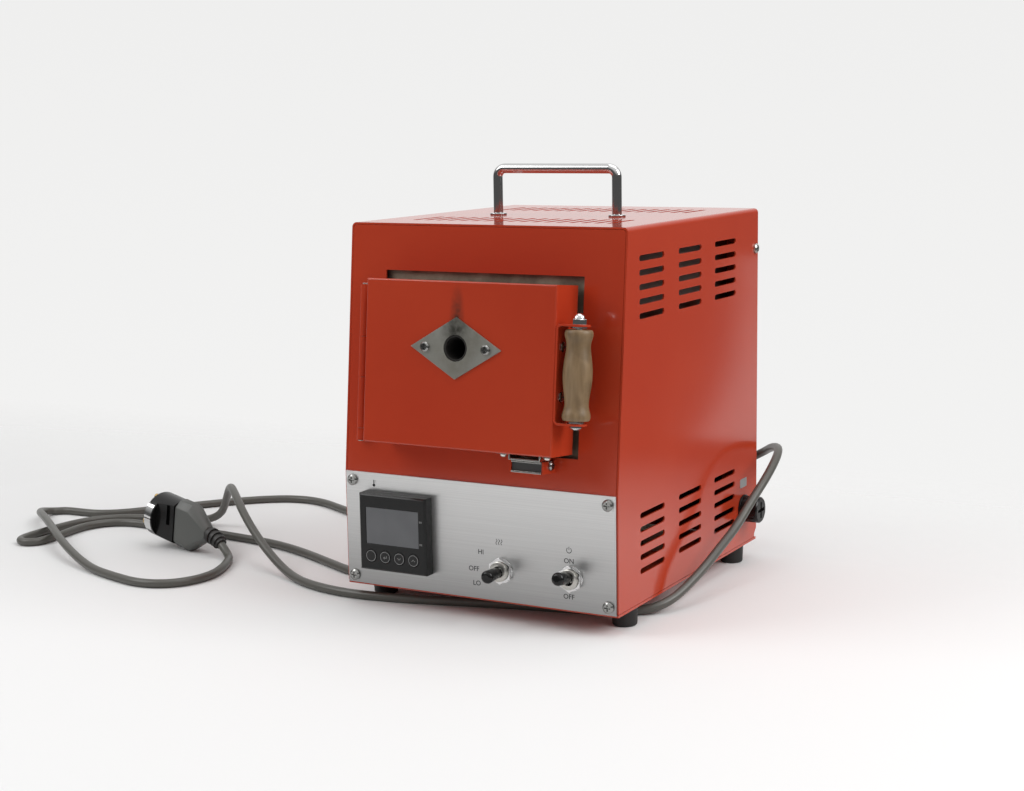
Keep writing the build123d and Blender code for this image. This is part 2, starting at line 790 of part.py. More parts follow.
def make_heating_elements():
    """A wire on each side wall, bent to and fro, both its ends out through the back."""
    heights = element_heights()
    back = chamber_back - 12
    radius = element_pitch / 2 - 0.01
    wires = []
    for side in (-1, 1):
        x = side * element_x()
        points = [(x, muffle_back + terminal_length - 2, heights[0])]
        for n in range(element_rows - 1):
            y = element_front if n % 2 == 0 else back
            points += [(x, y, heights[n]), (x, y, heights[n + 1])]
        points.append((x, muffle_back + terminal_length - 2, heights[-1]))
        path = FilletPolyline(*points, radius=radius)
        wires.append(sweep(Plane(origin=path @ 0, z_dir=path % 0) * Circle(element_wire), path=path))
    return group(wires)


def make_element_terminals():
    """Screwed connectors on the element ends, behind the muffle."""
    heights = element_heights()
    pieces = []
    for side in (-1, 1):
        x = side * element_x()
        for z in (heights[0], heights[-1]):
            start = muffle_back + seat_gap
            connector = tube(3.6, element_wire + 0.1, (x, start, z), (x, start + terminal_length, z))
            pieces.append(connector - rod(1.2, (x, start + 4, z), (x, start + 4, z + 5)))
    return group(pieces)


def make_thermocouple():
    """Temperature probe: sheath into the chamber and connection head behind the muffle."""
    z = probe_z()
    head = muffle_back + seat_gap
    probe = rod(probe_radius, (0, chamber_back - probe_reach, z), (0, head + 1, z))
    return probe + block((-9, 9), (head, head + 9), (z - 6, z + 6))


def make_chamber_frame():
    """Plate round the chamber's mouth, seen through the gap round the door."""
    plate = SLOPE * block((-frame_half_width, frame_half_width), (frame_depth, frame_depth + sheet),
                          (frame_bottom, frame_top))
    return plate - chamber_space()


# ---- door -----------------------------------------------------------------------------------------
def peephole_screws():
    return [(peephole_x + side * peephole_screw_offset, peephole_v) for side in (-1, 1)]


def bracket_screw_places():
    return [(door_half_width + sheet, -bolt_off, v) for v in bracket_screws]


def door_fastener_holes(clearance):
    """Room for the screws that go into the door."""
    holes = rod(m3 + clearance, (door_half_width - 9, -bolt_off, bracket_screws[0]),
                (door_half_width + 5, -bolt_off, bracket_screws[0]))
    holes += rod(m3 + clearance, (door_half_width - 9, -bolt_off, bracket_screws[1]),
                 (door_half_width + 5, -bolt_off, bracket_screws[1]))
    for u, v in peephole_screws():
        holes += rod(m3 + clearance, (u, -door_front - 5, v), (u, 9 - door_front, v))
    return holes


def sight_hole(radius):
    return rod(radius, (peephole_x, -BIG, peephole_v), (peephole_x, BIG, peephole_v))


def make_door_shell():
    """Folded sheet pan, open at the back."""
    pan = block((-door_half_width, door_half_width), (-door_front, -door_rear), (door_bottom, door_top))
    pan = fillet(pan.edges().group_by(Axis.Y)[0], 1.0)
    wide = door_half_width - sheet
    pan -= block((-wide, wide), (sheet - door_front, 1), (door_bottom + sheet, door_top - sheet))
    pan -= sight_hole(tube_outer + screw_clearance)
    return SLOPE * (pan - door_fastener_holes(screw_clearance))


def make_door_insulation():
    """Fibre slab in the pan with a tapered plug that closes the chamber."""
    inset = sheet + seat_gap
    wide = door_half_width - inset
    slab = block((-wide, wide), (inset - door_front, -1), (door_bottom + inset, door_top - inset))
    half = chamber_width / 2 - plug_side_gap
    tall = chamber_height / 2 - plug_end_gap
    base = Plane(origin=(0, -1, plug_middle), x_dir=(1, 0, 0), z_dir=(0, 1, 0))
    tip = Plane(origin=(0, plug_depth, plug_middle), x_dir=(1, 0, 0), z_dir=(0, 1, 0))
    plug = loft([base * Rectangle(2 * half, 2 * tall),
                 tip * Rectangle(2 * (half - plug_taper_side), 2 * (tall - plug_taper_end))])
    solid = slab + plug - sight_hole(tube_outer + screw_clearance) - door_fastener_holes(0.4)
    return SLOPE * solid


def make_peephole_plate():
    """Diamond-shaped plate round the peephole."""
    front = Plane(origin=(peephole_x, -door_front, peephole_v), x_dir=(1, 0, 0), z_dir=(0, -1, 0))
    wide = peephole_width / 2
    tall = peephole_height / 2
    outline = make_face(Polyline((-wide, 0), (0, -tall), (wide, 0), (0, tall), close=True))
    plate = extrude(front * outline, plate_sheet) - sight_hole(tube_outer + screw_clearance)
    for u, v in peephole_screws():
        plate -= rod(m3 + screw_clearance, (u, -door_front - 5, v), (u, 0, v))
    return SLOPE * plate


def make_sight_tube():
    """Ceramic tube through the door."""
    start = (peephole_x, -door_front - 0.7, peephole_v)
    return SLOPE * tube(tube_outer, tube_bore, start, (peephole_x, plug_depth, peephole_v))


def make_door_screws():
    """Screws of the peephole plate and of the handle bracket."""
    seats = [(u, -door_front - plate_sheet, v) for u, v in peephole_screws()]
    screws = [pan_screw(seat, (0, -1, 0), *peephole_screw_head, m3, 7.0) for seat in seats]
    screws += [pan_screw(place, (1, 0, 0), *bracket_screw_head, m3, 8.0) for place in bracket_screw_places()]
    return group([SLOPE * screw for screw in screws])


def make_handle_bracket():
    """U-shaped bracket on the door's side that carries the grip between its flanges."""
    wall = door_half_width
    along = (-bracket_front, -bracket_rear)
    bracket = block((wall, wall + bracket_reach), along, (bracket_bottom, bracket_top))
    bracket = fillet(bracket.edges().filter_by(Axis.Y).group_by(Axis.X)[0], bracket_bend)
    bracket = fillet(bracket.edges().filter_by(Axis.Z).group_by(Axis.X)[-1], 3.0)
    room = block((wall + sheet, BIG), (-BIG, BIG), (bracket_bottom + sheet, bracket_top - sheet))
    bracket -= fillet(room.edges().filter_by(Axis.Y).group_by(Axis.X)[0], bracket_bend - sheet)
    bracket -= rod(m4 + screw_clearance, (bolt_u, -bolt_off, 0), (bolt_u, -bolt_off, door_top))
    return SLOPE * (bracket - door_fastener_holes(screw_clearance))


def make_grip_bolt():
    """Long bolt through both flanges; the grip turns on it."""
    seat = (bolt_u, -bolt_off, bracket_bottom)
    length = bracket_top + bolt_end - bracket_bottom
    return SLOPE * pan_screw(seat, (0, 0, -1), *grip_bolt_head, m4, length)


def make_wooden_grip():
    """Turned wooden grip with a bead at each end, free to turn on its bolt."""
    start = bracket_bottom + sheet + bolt_washer + seat_gap
    end = bracket_top - sheet - bolt_washer - seat_gap
    bore = m4 + 0.08
    low_neck = start + 0.155 * (end - start)
    high_neck = end - 0.155 * (end - start)
    middle = (start + end) / 2
    low_bead = ThreePointArc((grip_bead - 1.4, start), (grip_bead, start + 2.9), (grip_neck, low_neck))
    belly = ThreePointArc((grip_neck, low_neck), (grip_belly, middle), (grip_neck, high_neck))
    high_bead = ThreePointArc((grip_neck, high_neck), (grip_bead - 0.2, end - 2.9), (grip_bead - 1.6, end))
    ends = Polyline((grip_bead - 1.6, end), (bore, end), (bore, start), (grip_bead - 1.4, start))
    profile = Plane.XZ * make_face(low_bead + belly + high_bead + ends)
    return SLOPE * Pos(bolt_u, -bolt_off, 0) * revolve(profile, Axis.Z)


def make_grip_nut_and_washers():
    """Acorn nut on the bolt's end and a washer at each end of the grip."""
    def at(v):
        return bolt_u, -bolt_off, v
    low = bracket_bottom + sheet
    high = bracket_top - sheet
    hole = m4 + thread_gap
    pieces = [tube(bolt_washer_radius, hole, at(low), at(low + bolt_washer)),
              tube(bolt_washer_radius, hole, at(high - bolt_washer), at(high))]
    nut = hexagon(7.8, at(bracket_top), at(bracket_top + 3.0))
    nut += Pos(*at(bracket_top + 3.0)) * (Sphere(3.5) & block((-9, 9), (-9, 9), (0, 9)))
    pieces.append(nut - rod(hole, at(bracket_top - 1), at(bracket_top + 4.0)))
    return group([SLOPE * piece for piece in pieces])


# ---- hinge ----------------------------------------------------------------------------------------
def knuckles(fixed):
    """Height ranges of the fixed or the moving knuckles, with the running gap between them."""
    ranges = []
    for n, (low, high) in enumerate(zip(knuckle_splits, knuckle_splits[1:])):
        if (n % 2 == 0) == fixed:
            ranges.append((low + knuckle_gap / 2, high - knuckle_gap / 2))
    return ranges


def hinge_barrel(radius, low, high):
    return rod(radius, (hinge_u, -hinge_off, low), (hinge_u, -hinge_off, high))


def notch_for(leaf, fixed):
    """Cut the leaf back where the other leaf's knuckles turn, and bore it for the pin."""
    for low, high in knuckles(not fixed):
        leaf -= hinge_barrel(knuckle_radius + 0.3, low - knuckle_gap, high + knuckle_gap)
    return leaf - hinge_barrel(pin_radius + 0.05, 0, door_top + 9)


def make_hinge_fixed_leaf():
    """Leaf welded to the front beside the door opening."""
    low, high = knuckle_splits[0], knuckle_splits[-1]
    leaf = block((hinge_u, -door_half_width - opening_left_gap - 1), (-sheet, 0), (low + 0.1, high - 0.1))
    for start, end in knuckles(True):
        leaf += hinge_barrel(knuckle_radius, start, end)
    return SLOPE * notch_for(leaf, True)


def make_hinge_moving_leaf():
    """Leaf in front of the fixed one, bent forward along the door's side."""
    low, high = knuckle_splits[1], knuckle_splits[-1]
    rear = -sheet - seat_gap - 0.1
    side = -door_half_width
    leaf = block((hinge_u, side), (rear - sheet, rear), (low + 0.1, high - 0.1))
    leaf += block((side - sheet, side), (5 - door_front, rear), (door_bottom + 2, high - 0.1))
    for start, end in knuckles(False):
        leaf += hinge_barrel(knuckle_radius, start, end)
    return SLOPE * notch_for(leaf, False)


def make_hinge_pin():
    """Plain pin, its ends upset over the knuckles."""
    low, high = knuckle_splits[0], knuckle_splits[-1]
    pin = hinge_barrel(pin_radius, low - 0.5, high + 0.5)
    pin += hinge_barrel(pin_radius + 0.6, low - 0.6, low)
    pin += hinge_barrel(pin_radius + 0.6, high, high + 0.6)
    return SLOPE * pin


# ---- magnetic catch -------------------------------------------------------------------------------
def catch_screw_holes(clearance):
    at = (-catch_screw_off, catch_screw_v)
    hole = catch_screw + clearance
    holes = rod(hole, (catch_left - 1, *at), (catch_left + 6, *at))
    return holes + rod(hole, (catch_right - 6, *at), (catch_right + 1, *at))


def make_catch_bracket():
    """U-shaped bracket on the casing, its flanks either side of the magnet."""
    bracket = block((catch_left, catch_right), (-catch_reach, 0), (catch_bottom, catch_top))
    bracket -= block((catch_left + sheet, catch_right - sheet), (-BIG, -sheet), (0, BIG))
    return SLOPE * (bracket - catch_screw_holes(screw_clearance))


def magnet_heights():
    low = catch_bottom + pole_plate
    return low, catch_top - pole_plate - 0.4


def make_catch_magnet():
    low, high = magnet_heights()
    inset = sheet + seat_gap
    magnet = block((catch_left + inset, catch_right - inset), (1 - catch_reach, -inset), (low, high))
    return SLOPE * (magnet - catch_screw_holes(screw_clearance))


def make_catch_pole_plates():
    """Steel plates over and under the magnet, reaching past it."""
    low, high = magnet_heights()
    inset = sheet + seat_gap
    plates = []
    for bottom in (low - pole_plate, high):
        plates.append(SLOPE * block((catch_left + inset, catch_right - inset), (-catch_reach - 0.5, -inset),
                                    (bottom, bottom + pole_plate)))
    return group(plates)


def make_strike_plate():
    """Hat-shaped strip under the door that the magnet holds."""
    across = (-18.0, -4.0)
    top = door_bottom
    low = door_bottom - strike_drop
    strike = block((strike_left, strike_right), across, (low, top))
    strike -= block((strike_left + 6, strike_right - 6), (-BIG, BIG), (low + 1, top + 1))
    for u in ((strike_left - 1, strike_left + 5), (strike_right - 5, strike_right + 1)):
        strike -= block(u, (-BIG, BIG), (low - 1, top - 1))
    return SLOPE * strike


# ---- mains cord, plug and adapter -----------------------------------------------------------------
def plug_axes():
    """Headings of the plug: across, up, and back along its axis towards the cord."""
    turn = math.radians(plug_turn)
    tilt = math.radians(plug_tilt)
    across = Vector(-math.sin(turn), math.cos(turn), 0)
    back = Vector(math.cos(turn) * math.cos(tilt), math.sin(turn) * math.cos(tilt), -math.sin(tilt))
    return across, back.cross(across), back


def plug_plane(distance):
    """Plane square to the plug's axis, this far from its lowest corner towards the cord."""
    across, up, back = plug_axes()
    height = floor_z + 0.02 + plug_height / 2 * up.Z
    return Plane(origin=Vector(*plug_corner, height) + back * distance, x_dir=across, z_dir=back)


def relief_place(share):
    """Point and heading along the strain relief's bend, from 0 at the plug to 1 at the cord."""
    start = plug_plane(plug_taper)
    back = start.z_dir
    whole = math.radians(back.get_angle(relief_heading))
    radius = relief_length / whole
    side = (relief_heading - back * back.dot(relief_heading)).normalized()
    turn = share * whole
    step = back * math.sin(turn) + side * (1 - math.cos(turn))
    return start.origin + step * radius, back * math.cos(turn) + side * math.sin(turn)


def make_strain_relief():
    """Tapered ribbed sleeve that bends with the cord."""
    sections = []
    for share in (0, 0.33, 0.67, 1):
        point, heading = relief_place(share)
        sections.append(Plane(origin=point, z_dir=heading) * Circle(5.0 - 1.0 * share))
    sleeve = loft(sections)
    for share in (0.22, 0.5, 0.78):
        point, heading = relief_place(share)
        sleeve += Plane(origin=point, z_dir=heading) * Cylinder(6.1 - 1.1 * share, 2.2)
    return sleeve


def make_plug_body():
    """Moulded plug: flat eight-sided front that tapers to the neck of its strain relief."""
    outline = chamfer(Rectangle(plug_width, plug_height).vertices(), plug_corner_cut)
    body = extrude(plug_plane(-plug_body_length) * outline, plug_body_length)
    neck = plug_plane(plug_taper) * RegularPolygon(plug_neck, 8, rotation=22.5)
    return body + loft([plug_plane(0) * outline, neck])


def plug_contact_places():
    return [(0, step * contact_spacing) for step in (-1, 0, 1)]


def make_adapter():
    """Round plug adapter with a full flange, flat sides behind it and sockets for the plug's pins."""
    base = plug_plane(-plug_body_length - adapter_length)
    body = Cylinder(adapter_radius, adapter_length, align=(Align.CENTER, Align.CENTER, Align.MIN))
    body = chamfer(body.edges().group_by(Axis.Z)[0], 1.2)
    beyond = adapter_length + 1
    wide = adapter_radius + 1
    for side in (-1, 1):
        flat = Polyline((side * adapter_half_far, adapter_flange), (side * adapter_half_near, adapter_length),
                        (side * adapter_half_near, beyond), (side * wide, beyond),
                        (side * wide, adapter_flange), close=True)
        body -= extrude(Plane.XZ * make_face(flat), amount=wide, both=True)
        groove = sorted((side * (adapter_half_near - groove_depth), side * wide))
        high = adapter_length - groove_from_plug
        body -= block(groove, (-1.7, 12.8), (high - groove_width, high))
    for x, y in plug_contact_places():
        bottom = adapter_length - contact_depth - 1
        body -= rod(contact_radius + screw_clearance, (x, y, bottom), (x, y, beyond))
    return base * body


def make_contact_pins():
    """The plug's three pins in the adapter's sockets, and the adapter's own two."""
    face = plug_plane(-plug_body_length)
    base = plug_plane(-plug_body_length - adapter_length)
    pins = [face * rod(contact_radius, (x, y, -contact_depth), (x, y, 0)) for x, y in plug_contact_places()]
    turn = math.radians(adapter_pin_turn)
    for side in (-1, 1):
        x = side * contact_spacing * math.cos(turn)
        y = side * contact_spacing * math.sin(turn)
        pins.append(base * rod(contact_radius, (x, y, -adapter_pin_length), (x, y, 0)))
    return group(pins)


def cord_points():
    """Corners of the cord's route, from the gland over the bench to the strain relief."""
    behind = [(60, 222, 40), (60, 248, 40), (82, 260, 51.5), (97, 240, 60.5)]
    right_side = [(113, 212, 65), (116, 184, 54), (113, 158, 39), (111, 137, 26), (109, 117, 18),
                  (107, 95, 9), (101.5, 72, -1.5), (97, 60, -5.5), (90, 52, -8.2)]
    under_front = [(74, 43), (50, 36), (0, 26), (-50, 12), (-94, 4), (-129.5, 10.2), (-156.8, 24.1)]
    over_plug = [(-181, 36, -1), (-202, 47, 9.5), (-222, 60, 20), (-241, 77, 27), (-262, 98, 29),
                 (-280, 116, 14), (-293, 126, -2)]
    left_end = [(-312, 128), (-335, 124.5), (-359.2, 117.1), (-375.6, 109.4), (-391.6, 99.7), (-397.9, 83.4),
                (-398.5, 60), (-397.5, 42), (-394, 26), (-384.5, 19), (-376.5, 28), (-375, 44), (-378.5, 62),
                (-380.5, 78), (-375, 93), (-361, 101)]
    back_to_kiln = [(-341, 100), (-318, 100.5), (-295, 100), (-268.9, 98.7), (-240.5, 95.6), (-216, 91.4),
                    (-187.9, 81.3), (-156.9, 66.1), (-128.8, 52)]
    under_kiln = [(-100, 46), (-72, 50), (-50, 66), (-42, 90), (-52, 114), (-76, 130), (-108, 141),
                  (-146, 158), (-190, 181), (-233.8, 202.8)]
    rear_strand = [(-270.2, 222.2), (-296.9, 221.9), (-319.4, 207.3), (-335.7, 190), (-353.3, 167.5),
                   (-375.9, 137.3), (-387.3, 122.8), (-401.4, 111.6), (-421, 112), (-437, 111), (-442, 100)]
    over_the_rest = [(-434, 88, -5), (-413, 70, -1.6), (-383, 42, -1.6), (-352, 16.5, -1.6), (-318, -6, -5)]
    to_plug = [(-291, -18.5), (-262, -28), (-236.9, -34), (-218.5, -28.1), (-208.5, -14), (-206, 3.5),
               (-211, 21), (-218, 35.5)]
    route = behind + right_side + under_front + over_plug + left_end + back_to_kiln
    route += under_kiln + rear_strand + over_the_rest + to_plug
    points = [Vector(*point) if len(point) == 3 else Vector(*point, cord_floor) for point in route]
    end, _ = relief_place(1)
    landing = end + relief_heading * ((cord_floor - end.Z) / relief_heading.Z)
    return points + [landing, end]


def make_power_cord():
    """Mains cord: straight runs joined by arcs as large as the runs allow."""
    points = cord_points()
    radii = []
    for before, here, after in zip(points, points[1:], points[2:]):
        shorter = min((here - before).length, (after - here).length)
        turn = math.radians((here - before).get_angle(after - here))
        radii.append(0.45 * shorter / math.tan(turn / 2))
    path = FilletPolyline(*points, radius=radii)
    cord = sweep(Plane(origin=path @ 0, z_dir=path % 0) * Circle(cord_radius), path=path)
    expected = math.pi * cord_radius ** 2 * path.length
    print("cord radii", [round(radius) for radius in radii])
    print("cord length", round(path.length, 1), "volume share", round(cord.volume / expected, 5))
    return cord


# ---- all parts ------------------------------------------------------------------------------------
def build_parts():
    parts = {
        "cover": make_cover(),
        "cover_screws": make_cover_screws(),
        "front_panel": make_front_panel(),
        "base_tray": make_base_tray(),
        "back_panel": make_back_panel(),
        "rubber_feet": make_rubber_feet(),
        "foot_screws": make_foot_screws(),
        "carry_handle": make_carry_handle(),
        "handle_washers": make_handle_washers(),
        "handle_screws": make_handle_screws(),
        "control_plate": make_control_plate(),
        "front_screws": make_front_screws(),
        "controller_case": make_controller_case(),
        "controller_bezel": make_controller_bezel(),
        "controller_window": make_controller_window(),
        "heat_switch_body": make_switch_body(heat_switch),
        "main_switch_body": make_switch_body(main_switch),
        "switch_nuts": make_switch_nuts(),
        "heat_lever": make_lever(heat_switch, 0),
        "heat_lever_sleeve": make_lever_sleeve(heat_switch, 0),
        "main_lever": make_lever(main_switch, main_switch_tilt),
        "main_lever_sleeve": make_lever_sleeve(main_switch, main_switch_tilt),
        "fuse_holder_body": make_fuse_holder_body(),
        "fuse_link": make_fuse_link(),
        "fuse_cap": make_fuse_cap(),
        "relay": make_relay(),
        "terminal_block": make_terminal_block(),
        "cord_gland": make_cord_gland(),
        "power_cord": make_power_cord(),
        "strain_relief": make_strain_relief(),
        "plug_body": make_plug_body(),
        "adapter": make_adapter(),
        "contact_pins": make_contact_pins(),
        "partition_plate": make_partition_plate(),
        "muffle_body": make_muffle_body(),
        "muffle_case": make_muffle_case(),
        "heating_elements": make_heating_elements(),
        "element_terminals": make_element_terminals(),
        "thermocouple": make_thermocouple(),
        "chamber_frame": make_chamber_frame(),
        "door_shell": make_door_shell(),
        "door_insulation": make_door_insulation(),
        "peephole_plate": make_peephole_plate(),
        "sight_tube": make_sight_tube(),
        "door_screws": make_door_screws(),
        "handle_bracket": make_handle_bracket(),
        "grip_bolt": make_grip_bolt(),
        "wooden_grip": make_wooden_grip(),
        "grip_nut_and_washers": make_grip_nut_and_washers(),
        "hinge_fixed_leaf": make_hinge_fixed_leaf(),
        "hinge_moving_leaf": make_hinge_moving_leaf(),
        "hinge_pin": make_hinge_pin(),
        "catch_bracket": make_catch_bracket(),
        "catch_magnet": make_catch_magnet(),
        "catch_pole_plates": make_catch_pole_plates(),
        "strike_plate": make_strike_plate(),
    }
    for number, (x, z) in enumerate(key_places(), 1):
        parts[f"controller_key_{number}"] = make_controller_key(x, z)
    return parts


cord_parts = ("power_cord", "strain_relief", "plug_body", "adapter", "contact_pins")
parts = build_parts()
boxes = [part.bounding_box() for name, part in parts.items() if name not in cord_parts]
middle_x = (min(box.min.X for box in boxes) + max(box.max.X for box in boxes)) / 2
middle_y = (min(box.min.Y for box in boxes) + max(box.max.Y for box in boxes)) / 2
to_origin = Pos(-middle_x, -middle_y, foot_height)
print("moved by", round(-middle_x, 4), round(-middle_y, 4), foot_height)

os.makedirs("parts", exist_ok=True)
for name, part in parts.items():
    export_step(to_origin * part, f"parts/{name}.step")
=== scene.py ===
"""Looks of a bench-top jewellery kiln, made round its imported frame.

Metres, +Z up, with the bench at z = 0. Pieces are drawn in millimetres, in one of two places: DRAWN has the
front of the casing at y = 0 and its bottom at z = 0, and SLOPE lies on the leaning front, with x across,
y into the casing and z up the slope. A piece's mesh is moved from there to its place in the frame.
"""
import json
import math

import bmesh
import bpy
from mathutils import Matrix, Vector

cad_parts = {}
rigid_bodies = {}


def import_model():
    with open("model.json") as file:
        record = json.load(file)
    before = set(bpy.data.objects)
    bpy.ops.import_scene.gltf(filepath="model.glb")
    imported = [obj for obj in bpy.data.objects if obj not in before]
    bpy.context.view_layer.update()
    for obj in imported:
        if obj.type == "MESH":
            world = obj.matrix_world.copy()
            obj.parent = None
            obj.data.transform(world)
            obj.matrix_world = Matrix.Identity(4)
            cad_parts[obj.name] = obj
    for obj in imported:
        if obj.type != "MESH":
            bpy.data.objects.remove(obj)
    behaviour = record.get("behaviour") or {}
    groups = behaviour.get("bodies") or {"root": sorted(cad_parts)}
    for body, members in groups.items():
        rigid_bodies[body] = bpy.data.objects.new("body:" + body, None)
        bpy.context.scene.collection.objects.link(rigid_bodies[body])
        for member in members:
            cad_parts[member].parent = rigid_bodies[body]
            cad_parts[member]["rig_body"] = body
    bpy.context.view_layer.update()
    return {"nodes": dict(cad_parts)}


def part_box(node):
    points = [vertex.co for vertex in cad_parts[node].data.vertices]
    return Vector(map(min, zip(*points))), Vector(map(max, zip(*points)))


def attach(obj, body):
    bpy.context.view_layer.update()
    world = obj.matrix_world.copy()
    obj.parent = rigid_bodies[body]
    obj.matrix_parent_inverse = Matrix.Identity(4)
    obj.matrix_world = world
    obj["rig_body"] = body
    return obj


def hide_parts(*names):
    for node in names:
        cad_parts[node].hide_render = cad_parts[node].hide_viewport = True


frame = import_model()
nodes = frame["nodes"]

# ---- places -------------------------------------------------------------------------------------
MM = 0.001
PLATE_BOTTOM = 1.2             # of the control plate, above the casing's bottom
BEND = 72.0                    # height where the front starts to lean
LEAN = math.atan2(15.5, 153.0)     # the front's setback over its rise
BENCH = -12.0                  # height of the bench in the drawn place
LIFT = 0.02                    # by which pieces clear what they lie on

plate_low, plate_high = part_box("control_plate")
ORIGIN = Vector(((plate_low.x + plate_high.x) / 2, plate_high.y, plate_low.z - PLATE_BOTTOM * MM))
DRAWN = Matrix.Translation(ORIGIN) @ Matrix.Scale(MM, 4)
SLOPE = DRAWN @ Matrix.Translation((0, 0, BEND)) @ Matrix.Rotation(-LEAN, 4, "X")


def turned_to(point, direction):
    """A place whose z axis points in a direction from a point, both in millimetres."""
    turn = Vector(direction).to_track_quat("Z", "Y").to_matrix().to_4x4()
    return Matrix.Translation(point) @ turn


# ---- materials ----------------------------------------------------------------------------------
def new_material(name, colour, roughness, metallic=0.0, **settings):
    """A plain shader with these values on its own sockets."""
    material = bpy.data.materials.new(name)
    material.use_nodes = True
    shader = material.node_tree.nodes["Principled BSDF"]
    shader.inputs["Base Color"].default_value = (*colour, 1)
    shader.inputs["Roughness"].default_value = roughness
    shader.inputs["Metallic"].default_value = metallic
    for socket, value in settings.items():
        shader.inputs[socket.replace("_", " ")].default_value = value
    return material


def add(material, kind, **settings):
    node = material.node_tree.nodes.new(kind)
    for socket, value in settings.items():
        node.inputs[socket.replace("_", " ")].default_value = value
    return node


def link(material, out, into):
    material.node_tree.links.new(out, into)


def object_space(material, stretch=(1, 1, 1), turn=(0, 0, 0)):
    """Object coordinates, stretched and turned for a pattern."""
    place = add(material, "ShaderNodeMapping", Scale=stretch, Rotation=turn)
    link(material, add(material, "ShaderNodeTexCoord").outputs["Object"], place.inputs["Vector"])
    return place.outputs["Vector"]


def noise(material, vector, scale, detail=3.0, roughness=0.5):
    node = add(material, "ShaderNodeTexNoise", Scale=scale, Detail=detail, Roughness=roughness)
    link(material, vector, node.inputs["Vector"])
    return node.outputs["Fac"]


def shader_of(material):
    return material.node_tree.nodes["Principled BSDF"]


def ramp(material, factor, *stops):
    """A colour ramp on a factor: (place, colour) stops."""
    node = material.node_tree.nodes.new("ShaderNodeValToRGB")
    node.color_ramp.elements[0].position = stops[0][0]
    node.color_ramp.elements[0].color = (*stops[0][1], 1)
    node.color_ramp.elements[1].position = stops[-1][0]
    node.color_ramp.elements[1].color = (*stops[-1][1], 1)
    for place, colour in stops[1:-1]:
        node.color_ramp.elements.new(place).color = (*colour, 1)
    link(material, factor, node.inputs["Fac"])
    return node.outputs["Color"]


def value_range(material, factor, low, high, start=0.0, end=1.0):
    node = add(material, "ShaderNodeMapRange", From_Min=start, From_Max=end, To_Min=low, To_Max=high)
    link(material, factor, node.inputs["Value"])
    return node.outputs["Result"]


def drive(material, socket, source):
    """Let a pattern set one of the shader's values."""
    link(material, source, shader_of(material).inputs[socket])


def bump(material, height, distance, strength):
    node = add(material, "ShaderNodeBump", Strength=strength, Distance=distance)
    link(material, height, node.inputs["Height"])
    drive(material, "Normal", node.outputs["Normal"])


def maths(material, operation, *sources, kind="ShaderNodeMath"):
    """A node that calculates with these sources, in the order of its inputs."""
    node = material.node_tree.nodes.new(kind)
    node.operation = operation
    for source, into in zip(sources, node.inputs):
        link(material, source, into)
    return node


def split_place(material):
    """Object coordinates, one by one."""
    node = add(material, "ShaderNodeSeparateXYZ")
    link(material, add(material, "ShaderNodeTexCoord").outputs["Object"], node.inputs["Vector"])
    return node.outputs


def colour_mix(material, blend):
    node = material.node_tree.nodes.new("ShaderNodeMix")
    node.data_type = "RGBA"
    node.blend_type = blend
    return node


SMUDGE = (0.85, 0.0, 0.15, 1.0)         # soot at its middle and edge, and where these lie in its reach
SOOT_PATCHES = (0.55, 1.0, 0.35, 0.6)   # least and most of it, and the pattern's values that give them


def sooted(material, middle, reach, colour):
    """Soot on a finish: an uneven smudge round a place on the slope, as far as reach each way."""
    where = add(material, "ShaderNodeMapping", Location=SLOPE @ Vector(middle), Rotation=(-LEAN, 0, 0),
                Scale=[MM * far for far in reach])
    where.vector_type = "TEXTURE"
    link(material, add(material, "ShaderNodeTexCoord").outputs["Object"], where.inputs["Vector"])
    away = maths(material, "LENGTH", where.outputs["Vector"], kind="ShaderNodeVectorMath")
    smudge = value_range(material, away.outputs["Value"], *SMUDGE)
    patchy = value_range(material, noise(material, object_space(material), 300.0, 5.0), *SOOT_PATCHES)
    mix = colour_mix(material, "MIX")
    link(material, maths(material, "MULTIPLY", smudge, patchy).outputs["Value"], mix.inputs["Factor"])
    link(material, shader_of(material).inputs["Base Color"].links[0].from_socket, mix.inputs["A"])
    mix.inputs["B"].default_value = (*colour, 1)
    drive(material, "Base Color", mix.outputs["Result"])
    return material


def powder_coat(name):
    """Glossy orange-red enamel with the faint pebble of a sprayed coat."""
    red = new_material(name, (0.42, 0.040, 0.014), 0.13)
    where = object_space(red)
    patches = noise(red, where, 9.0)
    drive(red, "Base Color", ramp(red, patches, (0.3, (0.405, 0.036, 0.0125)), (0.7, (0.435, 0.044, 0.0155))))
    bump(red, noise(red, where, 700.0, 2.0), 0.00002, 0.4)
    return red


# Painted reflection: the plate's tone is scaled by these at its lower and upper edge.
PLATE_PAINTED_REFLECTION = (0.66, 1.50)     # of its tone, at its lower and upper edge


def brushed_plate():
    """Aluminium sheet brushed from side to side, with a painted reflection: darker toward its lower edge,
    where it would mirror the shaded bench, and lighter toward its top.
    """
    plate = new_material("brushed_plate", (0.47, 0.47, 0.47), 0.34, 1.0, Anisotropic=0.4)
    strokes = noise(plate, object_space(plate, (8.0, 2600.0, 2600.0)), 1.0, 4.0, 0.7)
    tone = ramp(plate, strokes, (0.3, (0.44, 0.44, 0.438)), (0.7, (0.51, 0.51, 0.506)))
    # Painted reflection: the tone goes from dark at the plate's lower edge to light at its top.
    upward = value_range(plate, split_place(plate)["Z"], *PLATE_PAINTED_REFLECTION, plate_low.z, plate_high.z)
    painted_reflection = maths(plate, "SCALE", tone, kind="ShaderNodeVectorMath")
    link(plate, upward, painted_reflection.inputs["Scale"])
    drive(plate, "Base Color", painted_reflection.outputs["Vector"])
    drive(plate, "Roughness", value_range(plate, strokes, 0.27, 0.40))
    bump(plate, strokes, 0.00001, 0.5)
    return plate


METAL_WEAR = 0.25              # how far wear takes the roughness of metal from its mean, as a share
PLASTIC_WEAR = 0.1


